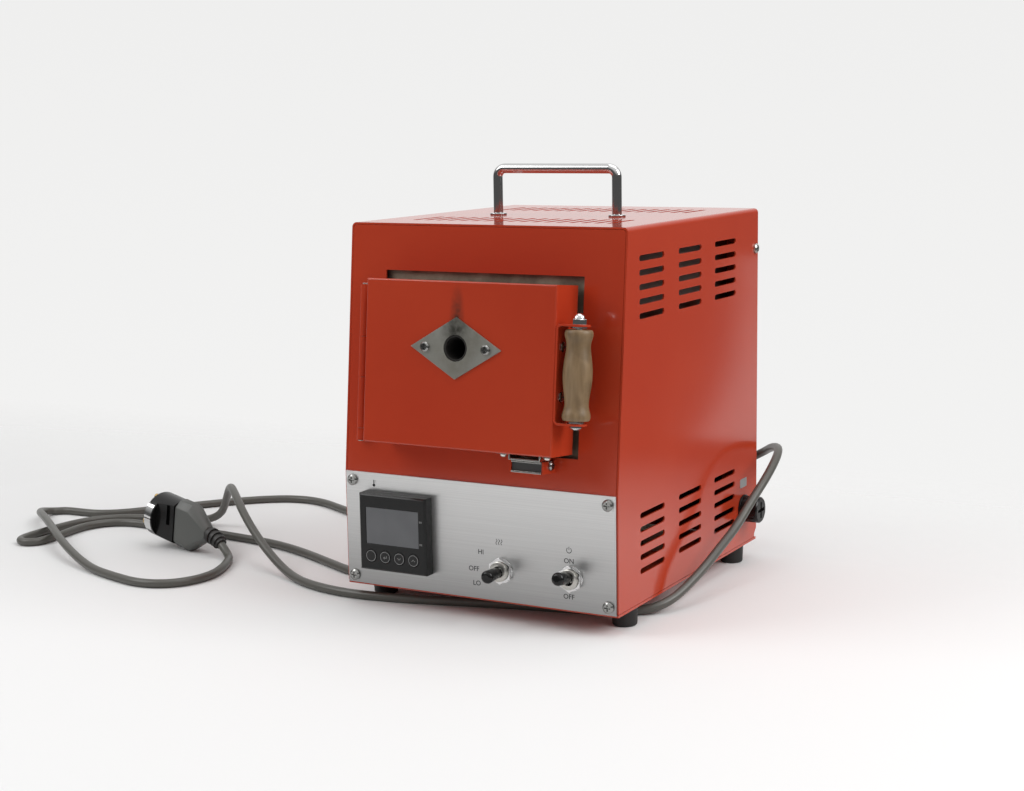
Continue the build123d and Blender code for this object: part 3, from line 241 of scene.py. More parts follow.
def metal(name, colour, roughness):
    """Bare or plated metal with fine wear in its gloss."""
    plain = new_material(name, colour, roughness, 1.0)
    wear = noise(plain, object_space(plain), 260.0, 5.0, 0.65)
    worn = value_range(plain, wear, roughness * (1 - METAL_WEAR), roughness * (1 + METAL_WEAR))
    drive(plain, "Roughness", worn)
    return plain


def moulded(name, colour, roughness, grain=700.0, depth=0.00003, shine=0.5):
    """Moulded plastic or rubber with a fine grain."""
    plastic = new_material(name, colour, roughness, Specular_IOR_Level=shine)
    where = object_space(plastic)
    bump(plastic, noise(plastic, where, grain, 2.0), depth, 0.6)
    wear = noise(plastic, where, 40.0)
    worn = value_range(plastic, wear, roughness * (1 - PLASTIC_WEAR), roughness * (1 + PLASTIC_WEAR))
    drive(plastic, "Roughness", worn)
    return plastic


STAIN_ROUGHER = 0.15


def scorched(name, colour, stain, roughness):
    """Steel discoloured by heat, in clouds."""
    steel = new_material(name, colour, roughness, 0.8)
    where = object_space(steel)
    clouds = noise(steel, where, 38.0, 5.0, 0.6)
    drive(steel, "Base Color", ramp(steel, clouds, (0.35, stain), (0.62, colour)))
    drive(steel, "Roughness", value_range(steel, clouds, roughness + STAIN_ROUGHER, roughness))
    return steel


def turned_wood():
    """Turned wood, its grain along the grip, darker where hands have been."""
    wood = new_material("turned_wood", (0.30, 0.19, 0.095), 0.46)
    along = object_space(wood, (1.0, 1.0, 0.12), (-LEAN, 0, 0))
    grain = noise(wood, along, 380.0, 4.0, 0.5)
    broad = noise(wood, object_space(wood), 75.0, 3.0)
    fine = ramp(wood, grain, (0.30, (0.165, 0.103, 0.048)), (0.5, (0.205, 0.132, 0.065)),
                (0.72, (0.245, 0.163, 0.086)))
    wide = ramp(wood, broad, (0.32, (0.66, 0.64, 0.60)), (0.55, (1.0, 1.0, 1.0)))
    mix = colour_mix(wood, "MULTIPLY")
    mix.inputs["Factor"].default_value = 1.0
    link(wood, fine, mix.inputs["A"])
    link(wood, wide, mix.inputs["B"])
    drive(wood, "Base Color", mix.outputs["Result"])
    bump(wood, grain, 0.00005, 0.5)
    return wood


def display_window():
    """Grey display behind a smoked cover, unlit and faintly uneven."""
    smoked = new_material("display_window", (0.07, 0.073, 0.08), 0.2, Coat_Weight=0.5, Coat_Roughness=0.08)
    clouds = noise(smoked, object_space(smoked), 45.0, 2.0)
    tone = ramp(smoked, clouds, (0.3, (0.062, 0.065, 0.072)), (0.7, (0.080, 0.083, 0.090)))
    drive(smoked, "Base Color", tone)
    return smoked


def fibre():
    """Moulded ceramic fibre, chalky and slightly pitted."""
    chalk = new_material("ceramic_fibre", (0.78, 0.75, 0.68), 0.95)
    where = object_space(chalk)
    clouds = noise(chalk, where, 60.0, 4.0)
    drive(chalk, "Base Color", ramp(chalk, clouds, (0.3, (0.66, 0.62, 0.54)), (0.7, (0.82, 0.79, 0.73))))
    bump(chalk, noise(chalk, where, 500.0, 5.0, 0.7), 0.0004, 0.8)
    return chalk


RED = powder_coat("red_enamel")
PLATE = brushed_plate()
CHROME = metal("chrome", (0.62, 0.62, 0.62), 0.09)
STEEL = metal("plain_steel", (0.40, 0.39, 0.36), 0.36)
ZINC = metal("zinc_plate", (0.48, 0.47, 0.44), 0.3)
SCORCHED = scorched("scorched_steel", (0.34, 0.27, 0.21), (0.13, 0.095, 0.070), 0.45)
DIAMOND = sooted(scorched("diamond_steel", (0.38, 0.375, 0.34), (0.26, 0.25, 0.215), 0.32),
                 middle=(-1.0, -28.0, 92.0), reach=(11.5, 10.0, 17.0), colour=(0.020, 0.018, 0.012))
BRASS = metal("brass", (0.55, 0.38, 0.16), 0.3)
BLACK = moulded("black_plastic", (0.005, 0.005, 0.005), 0.22, shine=0.3)
DARK = moulded("dark_plastic", (0.032, 0.032, 0.034), 0.48)
KEY = moulded("key_plastic", (0.008, 0.008, 0.008), 0.36, shine=0.35)
GREY = moulded("grey_plastic", (0.090, 0.094, 0.088), 0.4)
CREAM = moulded("cream_plastic", (0.62, 0.58, 0.46), 0.4)
WINDOW = display_window()
RUBBER = moulded("black_rubber", (0.008, 0.007, 0.006), 0.55, 500.0, 0.00005)
CORD = moulded("cord_sheath", (0.082, 0.079, 0.069), 0.36, 900.0, 0.00002)
RELIEF = moulded("relief_rubber", (0.018, 0.017, 0.016), 0.5)
WOOD = turned_wood()
FIBRE = fibre()
SOOT = moulded("sooted_ceramic", (0.010, 0.008, 0.006), 0.85, 300.0, 0.0001)
MAGNET = moulded("sintered_magnet", (0.04, 0.04, 0.04), 0.5)
ELEMENT = scorched("element_wire", (0.16, 0.13, 0.11), (0.08, 0.06, 0.05), 0.5)
GLASS = new_material("fuse_glass", (0.85, 0.88, 0.88), 0.05, Transmission_Weight=0.9)
INK = moulded("panel_ink", (0.012, 0.012, 0.013), 0.5)
PALE_INK = moulded("key_ink", (0.26, 0.26, 0.26), 0.5)
BRIGHT = metal("bright_nickel", (0.66, 0.65, 0.62), 0.2)
SCREW = metal("screw_nickel", (0.30, 0.30, 0.29), 0.2)
DOOR_RED = sooted(powder_coat("sooted_red_enamel"),
                  middle=(-1.0, -27.0, 98.0), reach=(5.5, 9.0, 22.0), colour=(0.045, 0.026, 0.018))


# ---- shaping ------------------------------------------------------------------------------------
DRAWN_WELD = 1e-4              # points this near are one, in millimetres
PLACED_WELD = 2e-6             # and in metres
FLAT = math.radians(1.0)
SHARP = math.radians(38.0)
EDGE_SEGMENTS = 2


def lathe(*profile, steps=64):
    """Spin an outline of (radius, height) points round local Z."""
    shape = bmesh.new()
    points = [shape.verts.new((radius, 0, height)) for radius, height in profile]
    edges = [shape.edges.new(pair) for pair in zip(points, points[1:])]
    bmesh.ops.spin(shape, geom=points + edges, cent=(0, 0, 0), axis=(0, 0, 1), angle=2 * math.pi,
                   steps=steps, use_merge=True)
    bmesh.ops.remove_doubles(shape, verts=shape.verts, dist=DRAWN_WELD)
    bmesh.ops.recalc_face_normals(shape, faces=shape.faces)
    return shape


def arc(middle, radius, start, end, count):
    """Points of an arc in an outline, between two angles in degrees."""
    steps = [math.radians(start + (end - start) * n / count) for n in range(count + 1)]
    return [(middle[0] + radius * math.cos(turn), middle[1] + radius * math.sin(turn)) for turn in steps]


def box(x, y, z):
    """A box between two limits on each axis."""
    shape = bmesh.new()
    bmesh.ops.create_cube(shape, size=1.0)
    for vert in shape.verts:
        for axis, (low, high) in enumerate((x, y, z)):
            vert.co[axis] = low + (vert.co[axis] + 0.5) * (high - low)
    return shape


def disc(radius, low, high):
    """An upright disc between two heights."""
    shape = bmesh.new()
    bmesh.ops.create_cone(shape, cap_ends=True, segments=20, radius1=radius, radius2=radius,
                          depth=high - low, matrix=Matrix.Translation((0, 0, (low + high) / 2)))
    return shape


def join(*shapes):
    """Several shapes in one."""
    whole = bmesh.new()
    for shape in shapes:
        scrap = bpy.data.meshes.new("scrap")
        shape.to_mesh(scrap)
        shape.free()
        whole.from_mesh(scrap)
        bpy.data.meshes.remove(scrap)
    return whole


def moved(shape, matrix):
    bmesh.ops.transform(shape, matrix=matrix, verts=shape.verts)
    return shape


def copy_of(node):
    """A CAD node's mesh with its loose triangles joined and its flat faces whole."""
    shape = bmesh.new()
    shape.from_mesh(nodes[node].data)
    bmesh.ops.remove_doubles(shape, verts=shape.verts, dist=PLACED_WELD)
    bmesh.ops.dissolve_limit(shape, angle_limit=FLAT, verts=shape.verts, edges=shape.edges)
    return shape


def shift_where(shape, place, test, vector):
    """Move the vertices whose point in a place passes a test, by a vector of that place."""
    back = place.inverted()
    turn = place.to_3x3()
    chosen = [vert for vert in shape.verts if test(back @ vert.co)]
    bmesh.ops.translate(shape, vec=turn @ Vector(vector), verts=chosen)
    return shape


def piece(name, shape, place, material, body, replaces=(), edge=0.0):
    """A finished piece: placed, shaded, its edges eased, and riding on a body."""
    moved(shape, place)
    mesh = bpy.data.meshes.new(name)
    shape.to_mesh(mesh)
    shape.free()
    mesh.shade_smooth()
    thing = bpy.data.objects.new(name, mesh)
    bpy.context.scene.collection.objects.link(thing)
    mesh.materials.append(material)
    if edge:
        bevel = thing.modifiers.new("eased_edges", "BEVEL")
        bevel.width = edge * MM
        bevel.segments = EDGE_SEGMENTS
        bevel.limit_method = "ANGLE"
        bevel.angle_limit = SHARP
        bevel.use_clamp_overlap = True
        thing.modifiers.new("flat_faces", "WEIGHTED_NORMAL").keep_sharp = True
    else:
        mesh.set_sharp_from_angle(angle=SHARP)
    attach(thing, body)
    if replaces:
        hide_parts(*replaces)
    return thing


def finished(node, shape, material, edge):
    """A reshaped copy of a CAD node that stands for it."""
    body = nodes[node]["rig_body"]
    return piece(node + "_finished", shape, Matrix.Identity(4), material, body, (node,), edge)


def eased(node, material, edge):
    """A CAD node's own shape with eased edges, in its place."""
    return finished(node, copy_of(node), material, edge)


def painted(node, material):
    """A CAD node that keeps its own mesh."""
    slots = nodes[node].data.materials
    slots.clear()
    slots.append(material)


# ---- cord ---------------------------------------------------------------------------------------
CORD_RADIUS = 2.85
ON_BENCH = BENCH + CORD_RADIUS + LIFT
RELIEF_END = (-236.5, 52.7, -2.4)


def cord_route():
    """The route's points in the drawn place, from the gland to the plug's strain relief."""
    behind = [(60, 222, 40), (60, 248, 40), (82, 260, 51.5), (97, 240, 60.5)]
    right_side = [(113, 212, 65), (116, 184, 54), (113, 158, 39), (111, 137, 26), (109, 117, 18),
                  (107, 95, 9), (101.5, 72, -1.5), (97, 60, -5.5), (90, 52, -8.2)]
    under_front = [(74, 43), (50, 36), (0, 26), (-50, 12), (-94, 4), (-129.5, 10.2), (-156.8, 24.1)]
    over_plug = [(-181, 36, -1), (-202, 47, 9.5), (-222, 60, 20), (-241, 77, 27), (-262, 98, 29),
                 (-280, 116, 14), (-293, 126, -2)]
    left_end = [(-312, 128), (-335, 124.5), (-359.2, 117.1), (-375.6, 109.4), (-388.6, 97.7), (-395.4, 81.4),
                (-397.5, 60), (-398, 42), (-397.2, 28), (-394.4, 21), (-387.5, 18), (-380.6, 21), (-378, 29),
                (-378.5, 44), (-381, 62), (-381.5, 78), (-374, 92), (-360, 100)]
    back_to_kiln = [(-341, 100), (-318, 100.5), (-295, 100), (-268.9, 98.7), (-240.5, 95.6), (-216, 91.4),
                    (-187.9, 81.3), (-156.9, 66.1), (-128.8, 52)]
    under_kiln = [(-100, 46), (-72, 50), (-50, 66), (-42, 90), (-52, 114), (-76, 130), (-108, 141),
                  (-146, 158), (-190, 181), (-233.8, 202.8)]
    rear_strand = [(-270.2, 222.2), (-296.9, 221.9), (-319.4, 207.3), (-335.7, 190), (-353.3, 167.5),
                   (-375.9, 137.3), (-387.3, 122.8), (-401.4, 113), (-417, 111.4), (-432.2, 111),
                   (-440, 104.5), (-440.6, 94.6, -7)]
    over_the_rest = [(-432, 81, -4), (-412, 64.5, -1.6), (-383, 42, -1.6), (-352, 16.5, -1.6), (-318, -6, -5)]
    to_plug = [(-291, -18.5), (-262, -28), (-236.9, -34), (-218.5, -28.1), (-208.5, -14), (-206, 3.5),
               (-211, 21), (-218, 35.5), (-225.9, 48.7)]
    route = behind + right_side + under_front + over_plug + left_end + back_to_kiln
    route += under_kiln + rear_strand + over_the_rest + to_plug + [RELIEF_END]
    return [point if len(point) == 3 else (*point, ON_BENCH) for point in route]


def make_cord():
    """One smooth spline with the route's points as its control points."""
    curve = bpy.data.curves.new("mains_cord", "CURVE")
    curve.dimensions = "3D"
    spline = curve.splines.new("NURBS")
    points = [DRAWN @ Vector(point) for point in cord_route()]
    spline.points.add(len(points) - 1)
    for control, point in zip(spline.points, points):
        control.co = (*point, 1)
    spline.order_u = 3
    spline.use_endpoint_u = True
    spline.resolution_u = 6
    curve.bevel_depth = CORD_RADIUS * MM
    curve.bevel_resolution = 5
    curve.use_fill_caps = True
    curve.materials.append(CORD)
    cord = bpy.data.objects.new("mains_cord", curve)
    bpy.context.scene.collection.objects.link(cord)
    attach(cord, "casing")
    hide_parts("power_cord")
    return cord


# ---- casing -------------------------------------------------------------------------------------
def finish_casing():
    """Folded sheet, its edges eased as the paint leaves them."""
    for node in ("cover", "front_panel", "base_tray", "back_panel"):
        eased(node, RED, 0.28)
    eased("cover_screws", ZINC, 0.12)
    eased("rubber_feet", RUBBER, 0.5)
    painted("foot_screws", ZINC)
    painted("partition_plate", STEEL)


def finish_carry_handle():
    """Chromed rod on its two washers."""
    eased("carry_handle", CHROME, 0.4)
    eased("handle_washers", CHROME, 0.25)
    painted("handle_screws", ZINC)


SIDE_LABEL = (94.0, 192.9, 43.5)
SIDE_LABEL_SIZE = (11.5, 6.0, 0.12)
SIDE_LABEL_CORNER = 0.9


def make_side_label():
    """Small bare metal label above the fuse holder."""
    x, y, z = SIDE_LABEL
    long, tall, thick = SIDE_LABEL_SIZE
    label = box((x, x + thick), (y - long / 2, y + long / 2), (z - tall / 2, z + tall / 2))
    corners = [edge for edge in label.edges if abs(edge.verts[0].co.x - edge.verts[1].co.x) > thick / 2]
    bmesh.ops.bevel(label, geom=corners, offset=SIDE_LABEL_CORNER, affect="EDGES", segments=4, profile=0.5,
                    material=-1)
    piece("side_label", label, DRAWN, PLATE, "casing")


# ---- control panel ------------------------------------------------------------------------------
PLATE_FACE = -1.0
HEAT_SWITCH = (17.2, 20.2)
MAIN_SWITCH = (63.9, 20.7)
BUSHING = (5.9, -4.3, -6.0)    # radius, and where its bare thread starts and ends
LEVER_BORE = 3.4
THREAD_TURNS = 3
THREAD_CREST = 0.12            # over the bushing's radius
THREAD_ROOT = 0.35             # under it
THREAD_MOUTH = (0.5, 0.4)      # width and depth of the chamfer in its bore
LETTER = 2.9                   # height of a capital
CAPITAL = 0.69                 # its share of the type's size
INK_HEIGHT = 0.02
INK_SPREAD = 0.05
INK_FLAT = 0.12                # of a round line's height
PRINT_SINK = 0.01
MARK_LINE = 0.5
PLATE_WORDS = [("heat_high_word", "HI", 3.0, 30.0), ("heat_off_word", "OFF", -2.0, 19.2),
               ("heat_low_word", "LO", -0.1, 10.4), ("main_on_word", "ON", 62.4, 30.8),
               ("main_off_word", "OFF", 62.2, 9.3)]


def on_plate(x, z):
    """A place on the front of the control plate, with its z axis out of it."""
    return DRAWN @ Matrix.Translation((x, PLATE_FACE + PRINT_SINK, z)) @ Matrix.Rotation(math.pi / 2, 4, "X")


def stroke(points, width):
    """A line of ink through points, hardly raised, as wide as given."""
    curve = bpy.data.curves.new("stroke", "CURVE")
    curve.dimensions = "3D"
    line = curve.splines.new("POLY")
    line.points.add(len(points) - 1)
    for control, (x, y) in zip(line.points, points):
        control.co = (x, y, 0, 1)
    curve.bevel_depth = width / 2
    curve.bevel_resolution = 2
    curve.use_fill_caps = True
    drawn = bpy.data.objects.new("stroke", curve)
    mesh = bpy.data.meshes.new_from_object(drawn)
    shape = bmesh.new()
    shape.from_mesh(mesh)
    bmesh.ops.scale(shape, vec=(1, 1, INK_FLAT), verts=shape.verts)
    bpy.data.objects.remove(drawn)
    bpy.data.curves.remove(curve)
    bpy.data.meshes.remove(mesh)
    return shape


def word(name, text, x, z):
    """A printed word, centred on its place on the plate."""
    letters = bpy.data.curves.new(name, "FONT")
    letters.body = text
    letters.size = LETTER / CAPITAL
    letters.align_x = "CENTER"
    letters.align_y = "CENTER"
    letters.extrude = INK_HEIGHT
    letters.offset = INK_SPREAD
    letters.resolution_u = 4
    drawn = bpy.data.objects.new(name, letters)
    mesh = bpy.data.meshes.new_from_object(drawn)
    shape = bmesh.new()
    shape.from_mesh(mesh)
    bmesh.ops.remove_doubles(shape, verts=shape.verts, dist=DRAWN_WELD)
    bpy.data.objects.remove(drawn)
    bpy.data.curves.remove(letters)
    bpy.data.meshes.remove(mesh)
    piece(name, shape, on_plate(x, z), INK, "casing")


def make_thermometer_mark():
    """Heading over the controller: a thermometer beside three marks of its scale."""
    bulb = moved(disc(1.0, -INK_HEIGHT, 0.03), Matrix.Translation((0, -1.3, 0)))
    scale = [stroke([(0.9, y), (1.7, y)], 0.25) for y in (0.1, 0.9, 1.7)]
    stem = stroke([(0, -1.2), (0, 2.0)], 0.8)
    piece("temperature_mark", join(bulb, stem, *scale), on_plate(-72.5, 65.6), INK, "casing")


def make_heat_mark():
    """Heading over the heat-rate switch: three rising waves."""
    heights = [-1.7 + 3.4 * n / 10 for n in range(11)]
    waves = [stroke([(x + 0.45 * math.sin(y * 2.2), y) for y in heights], MARK_LINE) for x in (-1.7, 0, 1.7)]
    piece("heat_mark", join(*waves), on_plate(15.6, 37.4), INK, "casing")


def make_power_mark():
    """Heading over the main switch: a broken ring and a bar."""
    turns = [math.radians(125 + 290 * n / 24) for n in range(25)]
    ring = stroke([(1.6 * math.cos(turn), 1.6 * math.sin(turn)) for turn in turns], MARK_LINE)
    bar = stroke([(0, 0.3), (0, 2.1)], MARK_LINE)
    piece("power_mark", join(ring, bar), on_plate(62.5, 37.4), INK, "casing")


def make_printing():
    make_thermometer_mark()
    make_heat_mark()
    make_power_mark()
    for name, text, x, z in PLATE_WORDS:
        word(name, text, x, z)


def make_bushing_thread(name, place):
    """The bare end of a switch's threaded bushing, ridged."""
    radius, start, end = BUSHING
    long = start - end
    pitch = long / THREAD_TURNS
    root = radius - THREAD_ROOT
    profile = [(LEVER_BORE, 0), (root, 0)]
    for n in range(THREAD_TURNS):
        profile += [(radius + THREAD_CREST, (n + 0.5) * pitch), (root, (n + 1) * pitch)]
    wide, deep = THREAD_MOUTH
    profile += [(LEVER_BORE + wide, long + LIFT), (LEVER_BORE, long - deep), (LEVER_BORE, 0)]
    x, z = place
    piece(name, lathe(*profile), DRAWN @ turned_to((x, start, z), (0, -1, 0)), ZINC, "casing")


def finish_switches():
    for node in ("heat_switch_body", "main_switch_body"):
        eased(node, ZINC, 0.15)
    eased("switch_nuts", CHROME, 0.22)
    eased("heat_lever", CHROME, 0.3)
    eased("main_lever", CHROME, 0.3)
    eased("heat_lever_sleeve", BLACK, 0.25)
    eased("main_lever_sleeve", BLACK, 0.25)
    make_bushing_thread("heat_bushing_thread", HEAT_SWITCH)
    make_bushing_thread("main_bushing_thread", MAIN_SWITCH)


KEY_PLACES = [(-70.5, 21.6), (-60.3, 21.6), (-50.1, 21.6), (-39.9, 21.6)]
KEY_FACE = -9.4
KEY_RING = 3.3
KEY_LINE = 0.3
SIGN_LINE = 0.34
KEY_SIGNS = {
    2: [[(1.1, 0.9), (1.1, -0.4), (-0.9, -0.4)], [(-0.3, 0.3), (-1.1, -0.4), (-0.3, -1.1)]],
    3: [[(-1.1, 0.5), (0, -0.6), (1.1, 0.5)]],
    4: [[(-1.1, -0.5), (0, 0.6), (1.1, -0.5)]],
}
INDICATORS = [(-34.4, 46.0), (-34.4, 32.0)]
BEZEL_FACE = -9.0


def make_key_marks():
    """A ring on each key, and its sign on three of them."""
    for number, (x, z) in enumerate(KEY_PLACES, 1):
        turns = [2 * math.pi * n / 40 for n in range(41)]
        marks = [stroke([(KEY_RING * math.cos(turn), KEY_RING * math.sin(turn)) for turn in turns], KEY_LINE)]
        marks += [stroke(line, SIGN_LINE) for line in KEY_SIGNS.get(number, [])]
        place = DRAWN @ Matrix.Translation((x, KEY_FACE, z)) @ Matrix.Rotation(math.pi / 2, 4, "X")
        piece(f"key_{number}_mark", join(*marks), place, PALE_INK, f"key_{number}")


def make_indicator_marks():
    """Two small pale marks beside the controller's window."""
    for number, (middle, z) in enumerate(INDICATORS, 1):
        place = DRAWN @ Matrix.Translation((middle, BEZEL_FACE, z)) @ Matrix.Rotation(math.pi / 2, 4, "X")
        bars = [stroke([(x, -0.6), (x, 0.6)], KEY_LINE) for x in (-0.7, 0.0, 0.7)]
        piece(f"indicator_mark_{number}", join(*bars), place, PALE_INK, "casing")


def finish_controller():
    eased("controller_bezel", BLACK, 0.35)
    eased("controller_window", WINDOW, 0.15)
    painted("controller_case", DARK)
    for number in range(1, 5):
        eased(f"controller_key_{number}", KEY, 0.2)
    make_key_marks()
    make_indicator_marks()


CATCH_SCREWS_OVER = 80.0       # height that parts the catch's screws from the plate's
CATCH_MIDDLE = 38.0            # u


def finish_front_screws():
    """The plate's corner screws, and the catch's two moved in with its flanges."""
    screws = copy_of("front_screws")
    shift_where(screws, DRAWN, lambda at: at.z > CATCH_SCREWS_OVER and at.x < CATCH_MIDDLE,
                (CATCH_LEFT_IN, 0, 0))
    shift_where(screws, DRAWN, lambda at: at.z > CATCH_SCREWS_OVER and at.x > CATCH_MIDDLE,
                (CATCH_RIGHT_OUT, 0, 0))
    finished("front_screws", screws, SCREW, 0.14)


def finish_control_panel():
    eased("control_plate", PLATE, 0.15)
    finish_front_screws()
    finish_controller()
    finish_switches()
    make_printing()


# ---- door ---------------------------------------------------------------------------------------
def finish_door():
    eased("door_shell", DOOR_RED, 0.25)
    eased("door_insulation", FIBRE, 0.5)
    eased("peephole_plate", DIAMOND, 0.14)
    eased("sight_tube", SOOT, 0.25)
    eased("door_screws", SCREW, 0.12)
    finish_handle_bracket()
    eased("grip_bolt", CHROME, 0.12)
    eased("grip_nut_and_washers", CHROME, 0.15)
    make_wooden_grip()
    eased("hinge_fixed_leaf", RED, 0.18)
    eased("hinge_moving_leaf", RED, 0.18)
    eased("hinge_pin", ZINC, 0.15)
    finish_strike_plate()


BOLT = (75.4, -20.2)
BOLT_HOLE = 2.1
FLANGE_RADIUS = 6.5            # round end of each flange of the bracket
FLANGES = [(40.8, 42.0), (97.0, 98.2)]
FLANGE_WELD = 0.00012


def finish_handle_bracket():
    """Channel on the door's side, its flanges rounded about the bolt."""
    bracket = copy_of("handle_bracket")
    cut = SLOPE @ Vector((BOLT[0], 0, 0))
    whole = bracket.verts[:] + bracket.edges[:] + bracket.faces[:]
    bmesh.ops.bisect_plane(bracket, geom=whole, dist=1e-6, plane_co=cut, plane_no=(1, 0, 0), clear_outer=True)
    ends = []
    for low, high in FLANGES:
        end = bmesh.new()
        corners = [(BOLT_HOLE, low), (FLANGE_RADIUS, low), (FLANGE_RADIUS, high), (BOLT_HOLE, high)]
        points = [end.verts.new((0, -radius, height)) for radius, height in corners]
        edges = [end.edges.new(pair) for pair in zip(points, points[1:] + points[:1])]
        bmesh.ops.spin(end, geom=points + edges, cent=(0, 0, 0), axis=(0, 0, 1), angle=math.pi, steps=24)
        ends.append(moved(end, SLOPE @ Matrix.Translation((*BOLT, 0))))
    rounded = join(bracket, *ends)
    bmesh.ops.remove_doubles(rounded, verts=rounded.verts, dist=FLANGE_WELD)
    bmesh.ops.recalc_face_normals(rounded, faces=rounded.faces)
    finished("handle_bracket", rounded, RED, 0.22)


GRIP_FOOT = 43.4
GRIP_LENGTH = 52.0
GRIP_BORE = 2.1
GRIP_OUTLINE = [(7.0, 0.0), (7.8, 0.4), (8.2, 1.6), (8.25, 3.2), (7.9, 4.9), (7.2, 6.9), (6.85, 9.3),
                (7.0, 12.2), (7.6, 16.0), (8.25, 20.5), (8.6, 25.5), (8.45, 30.0), (7.95, 34.5),
                (7.2, 39.0), (6.85, 42.2), (7.1, 45.0), (7.75, 47.0), (8.2, 48.6), (8.2, 50.0), (7.8, 51.4),
                (7.0, GRIP_LENGTH)]


def make_wooden_grip():
    """Turned grip: a soft bead at each end and a long belly between them."""
    outline = [(GRIP_BORE, 0.0), *GRIP_OUTLINE, (GRIP_BORE, GRIP_LENGTH), (GRIP_BORE, 0.0)]
    place = SLOPE @ Matrix.Translation((*BOLT, GRIP_FOOT))
    grip = piece("turned_grip", lathe(*outline), place, WOOD, "grip", ("wooden_grip",))
    rounding = grip.modifiers.new("rounding", "SUBSURF")
    rounding.levels = 1
    rounding.render_levels = 1


# ---- catch --------------------------------------------------------------------------------------
CATCH_LEFT_IN = 7.4            # how far the catch's left flange comes in, along u
CATCH_RIGHT_OUT = 0.8
CATCH_LEFT_WALL = 25.5         # u that parts the left flange's points from the rest
CATCH_FLANGE_TOP = 17.5        # v that parts the tops of its flanges from the rest
CATCH_TOP_DOWN = 0.25          # how far they lie under the strike plate
STRIKE_LEFT_IN = 4.2           # the strike plate's raised middle, in the same way
STRIKE_RIGHT_OUT = 3.0
STRIKE_TAB_END = 24.0          # u that parts its left tab's end from its raised middle
STRIKE_SCREWS = [26.2, 55.0]   # u
STRIKE_TAB = (-14.5, 21.0)     # y and v under its tabs
STRIKE_HEAD = [(0, 0), (2.5, 0), (2.5, 0.5), (2.0, 0.6), (2.0, 1.3), (1.6, 1.9), (1.0, 2.2), (0.6, 2.2),
               (0.5, 1.6), (0, 1.6)]


def narrowed(node):
    """A copy of one of the catch's pieces between its flanges' real places."""
    shape = copy_of(node)
    shift_where(shape, SLOPE, lambda at: at.x < CATCH_LEFT_WALL, (CATCH_LEFT_IN, 0, 0))
    return shift_where(shape, SLOPE, lambda at: at.x > CATCH_MIDDLE, (CATCH_RIGHT_OUT, 0, 0))


def finish_catch():
    bracket = narrowed("catch_bracket")
    shift_where(bracket, SLOPE, lambda at: at.z > CATCH_FLANGE_TOP, (0, 0, -CATCH_TOP_DOWN))
    finished("catch_bracket", bracket, RED, 0.15)
    finished("catch_magnet", narrowed("catch_magnet"), MAGNET, 0.2)
    finished("catch_pole_plates", narrowed("catch_pole_plates"), BRIGHT, 0.12)


def finish_strike_plate():
    """Hat-shaped strip, and the two screws that hold its tabs under the door."""
    strip = copy_of("strike_plate")
    shift_where(strip, SLOPE, lambda at: STRIKE_TAB_END < at.x < CATCH_MIDDLE, (STRIKE_LEFT_IN, 0, 0))
    shift_where(strip, SLOPE, lambda at: at.x > CATCH_MIDDLE, (STRIKE_RIGHT_OUT, 0, 0))
    finished("strike_plate", strip, BRIGHT, 0.15)
    y, v = STRIKE_TAB
    for number, u in enumerate(STRIKE_SCREWS, 1):
        place = SLOPE @ turned_to((u, y, v + LIFT), (0, 0, -1))
        piece(f"strike_screw_{number}", lathe(*STRIKE_HEAD, steps=32), place, BRIGHT, "door")


# ---- chamber and mains parts --------------------------------------------------------------------
def finish_chamber():
    eased("chamber_frame", SCORCHED, 0.2)
    painted("muffle_body", FIBRE)
    painted("muffle_case", STEEL)
    painted("heating_elements", ELEMENT)
    painted("element_terminals", BRASS)
    painted("thermocouple", STEEL)
    painted("relay", DARK)
    painted("terminal_block", CREAM)


def finish_fuse_holder():
    eased("fuse_holder_body", BLACK, 0.2)
    eased("fuse_cap", BLACK, 0.25)
    painted("fuse_link", GLASS)
    eased("cord_gland", BLACK, 0.3)


# ---- cord's plug --------------------------------------------------------------------------------
ADAPTER_RADIUS = 16.0
ADAPTER_STRIP = (0.8, 7.5)     # from the adapter's far face
STRIP_FROM = math.radians(-39)
STRIP_TO = math.radians(32)
STRIP_PROUD = 0.18
STRIP_THICK = 0.3
PLUG_CORNER = (-264.8, 59.4)   # where the plug's lowest corner rests
PLUG_TURN = math.radians(-11.2)
PLUG_TILT = math.radians(9.2)
PLUG_HEIGHT = 34.5
FAR_FACE = 36.7                # from the plug's lowest corner, back along its axis


def adapter_place():
    """The adapter's far face: z along its axis to the cord, x across, y up."""
    across = Vector((-math.sin(PLUG_TURN), math.cos(PLUG_TURN), 0))
    level = math.cos(PLUG_TILT)
    back = Vector((math.cos(PLUG_TURN) * level, math.sin(PLUG_TURN) * level, -math.sin(PLUG_TILT)))
    up = back.cross(across)
    corner = Vector((*PLUG_CORNER, BENCH + LIFT + PLUG_HEIGHT / 2 * up.z))
    middle = corner - back * FAR_FACE
    turn = Matrix((across, up, back)).transposed().to_4x4()
    return DRAWN @ Matrix.Translation(middle) @ turn


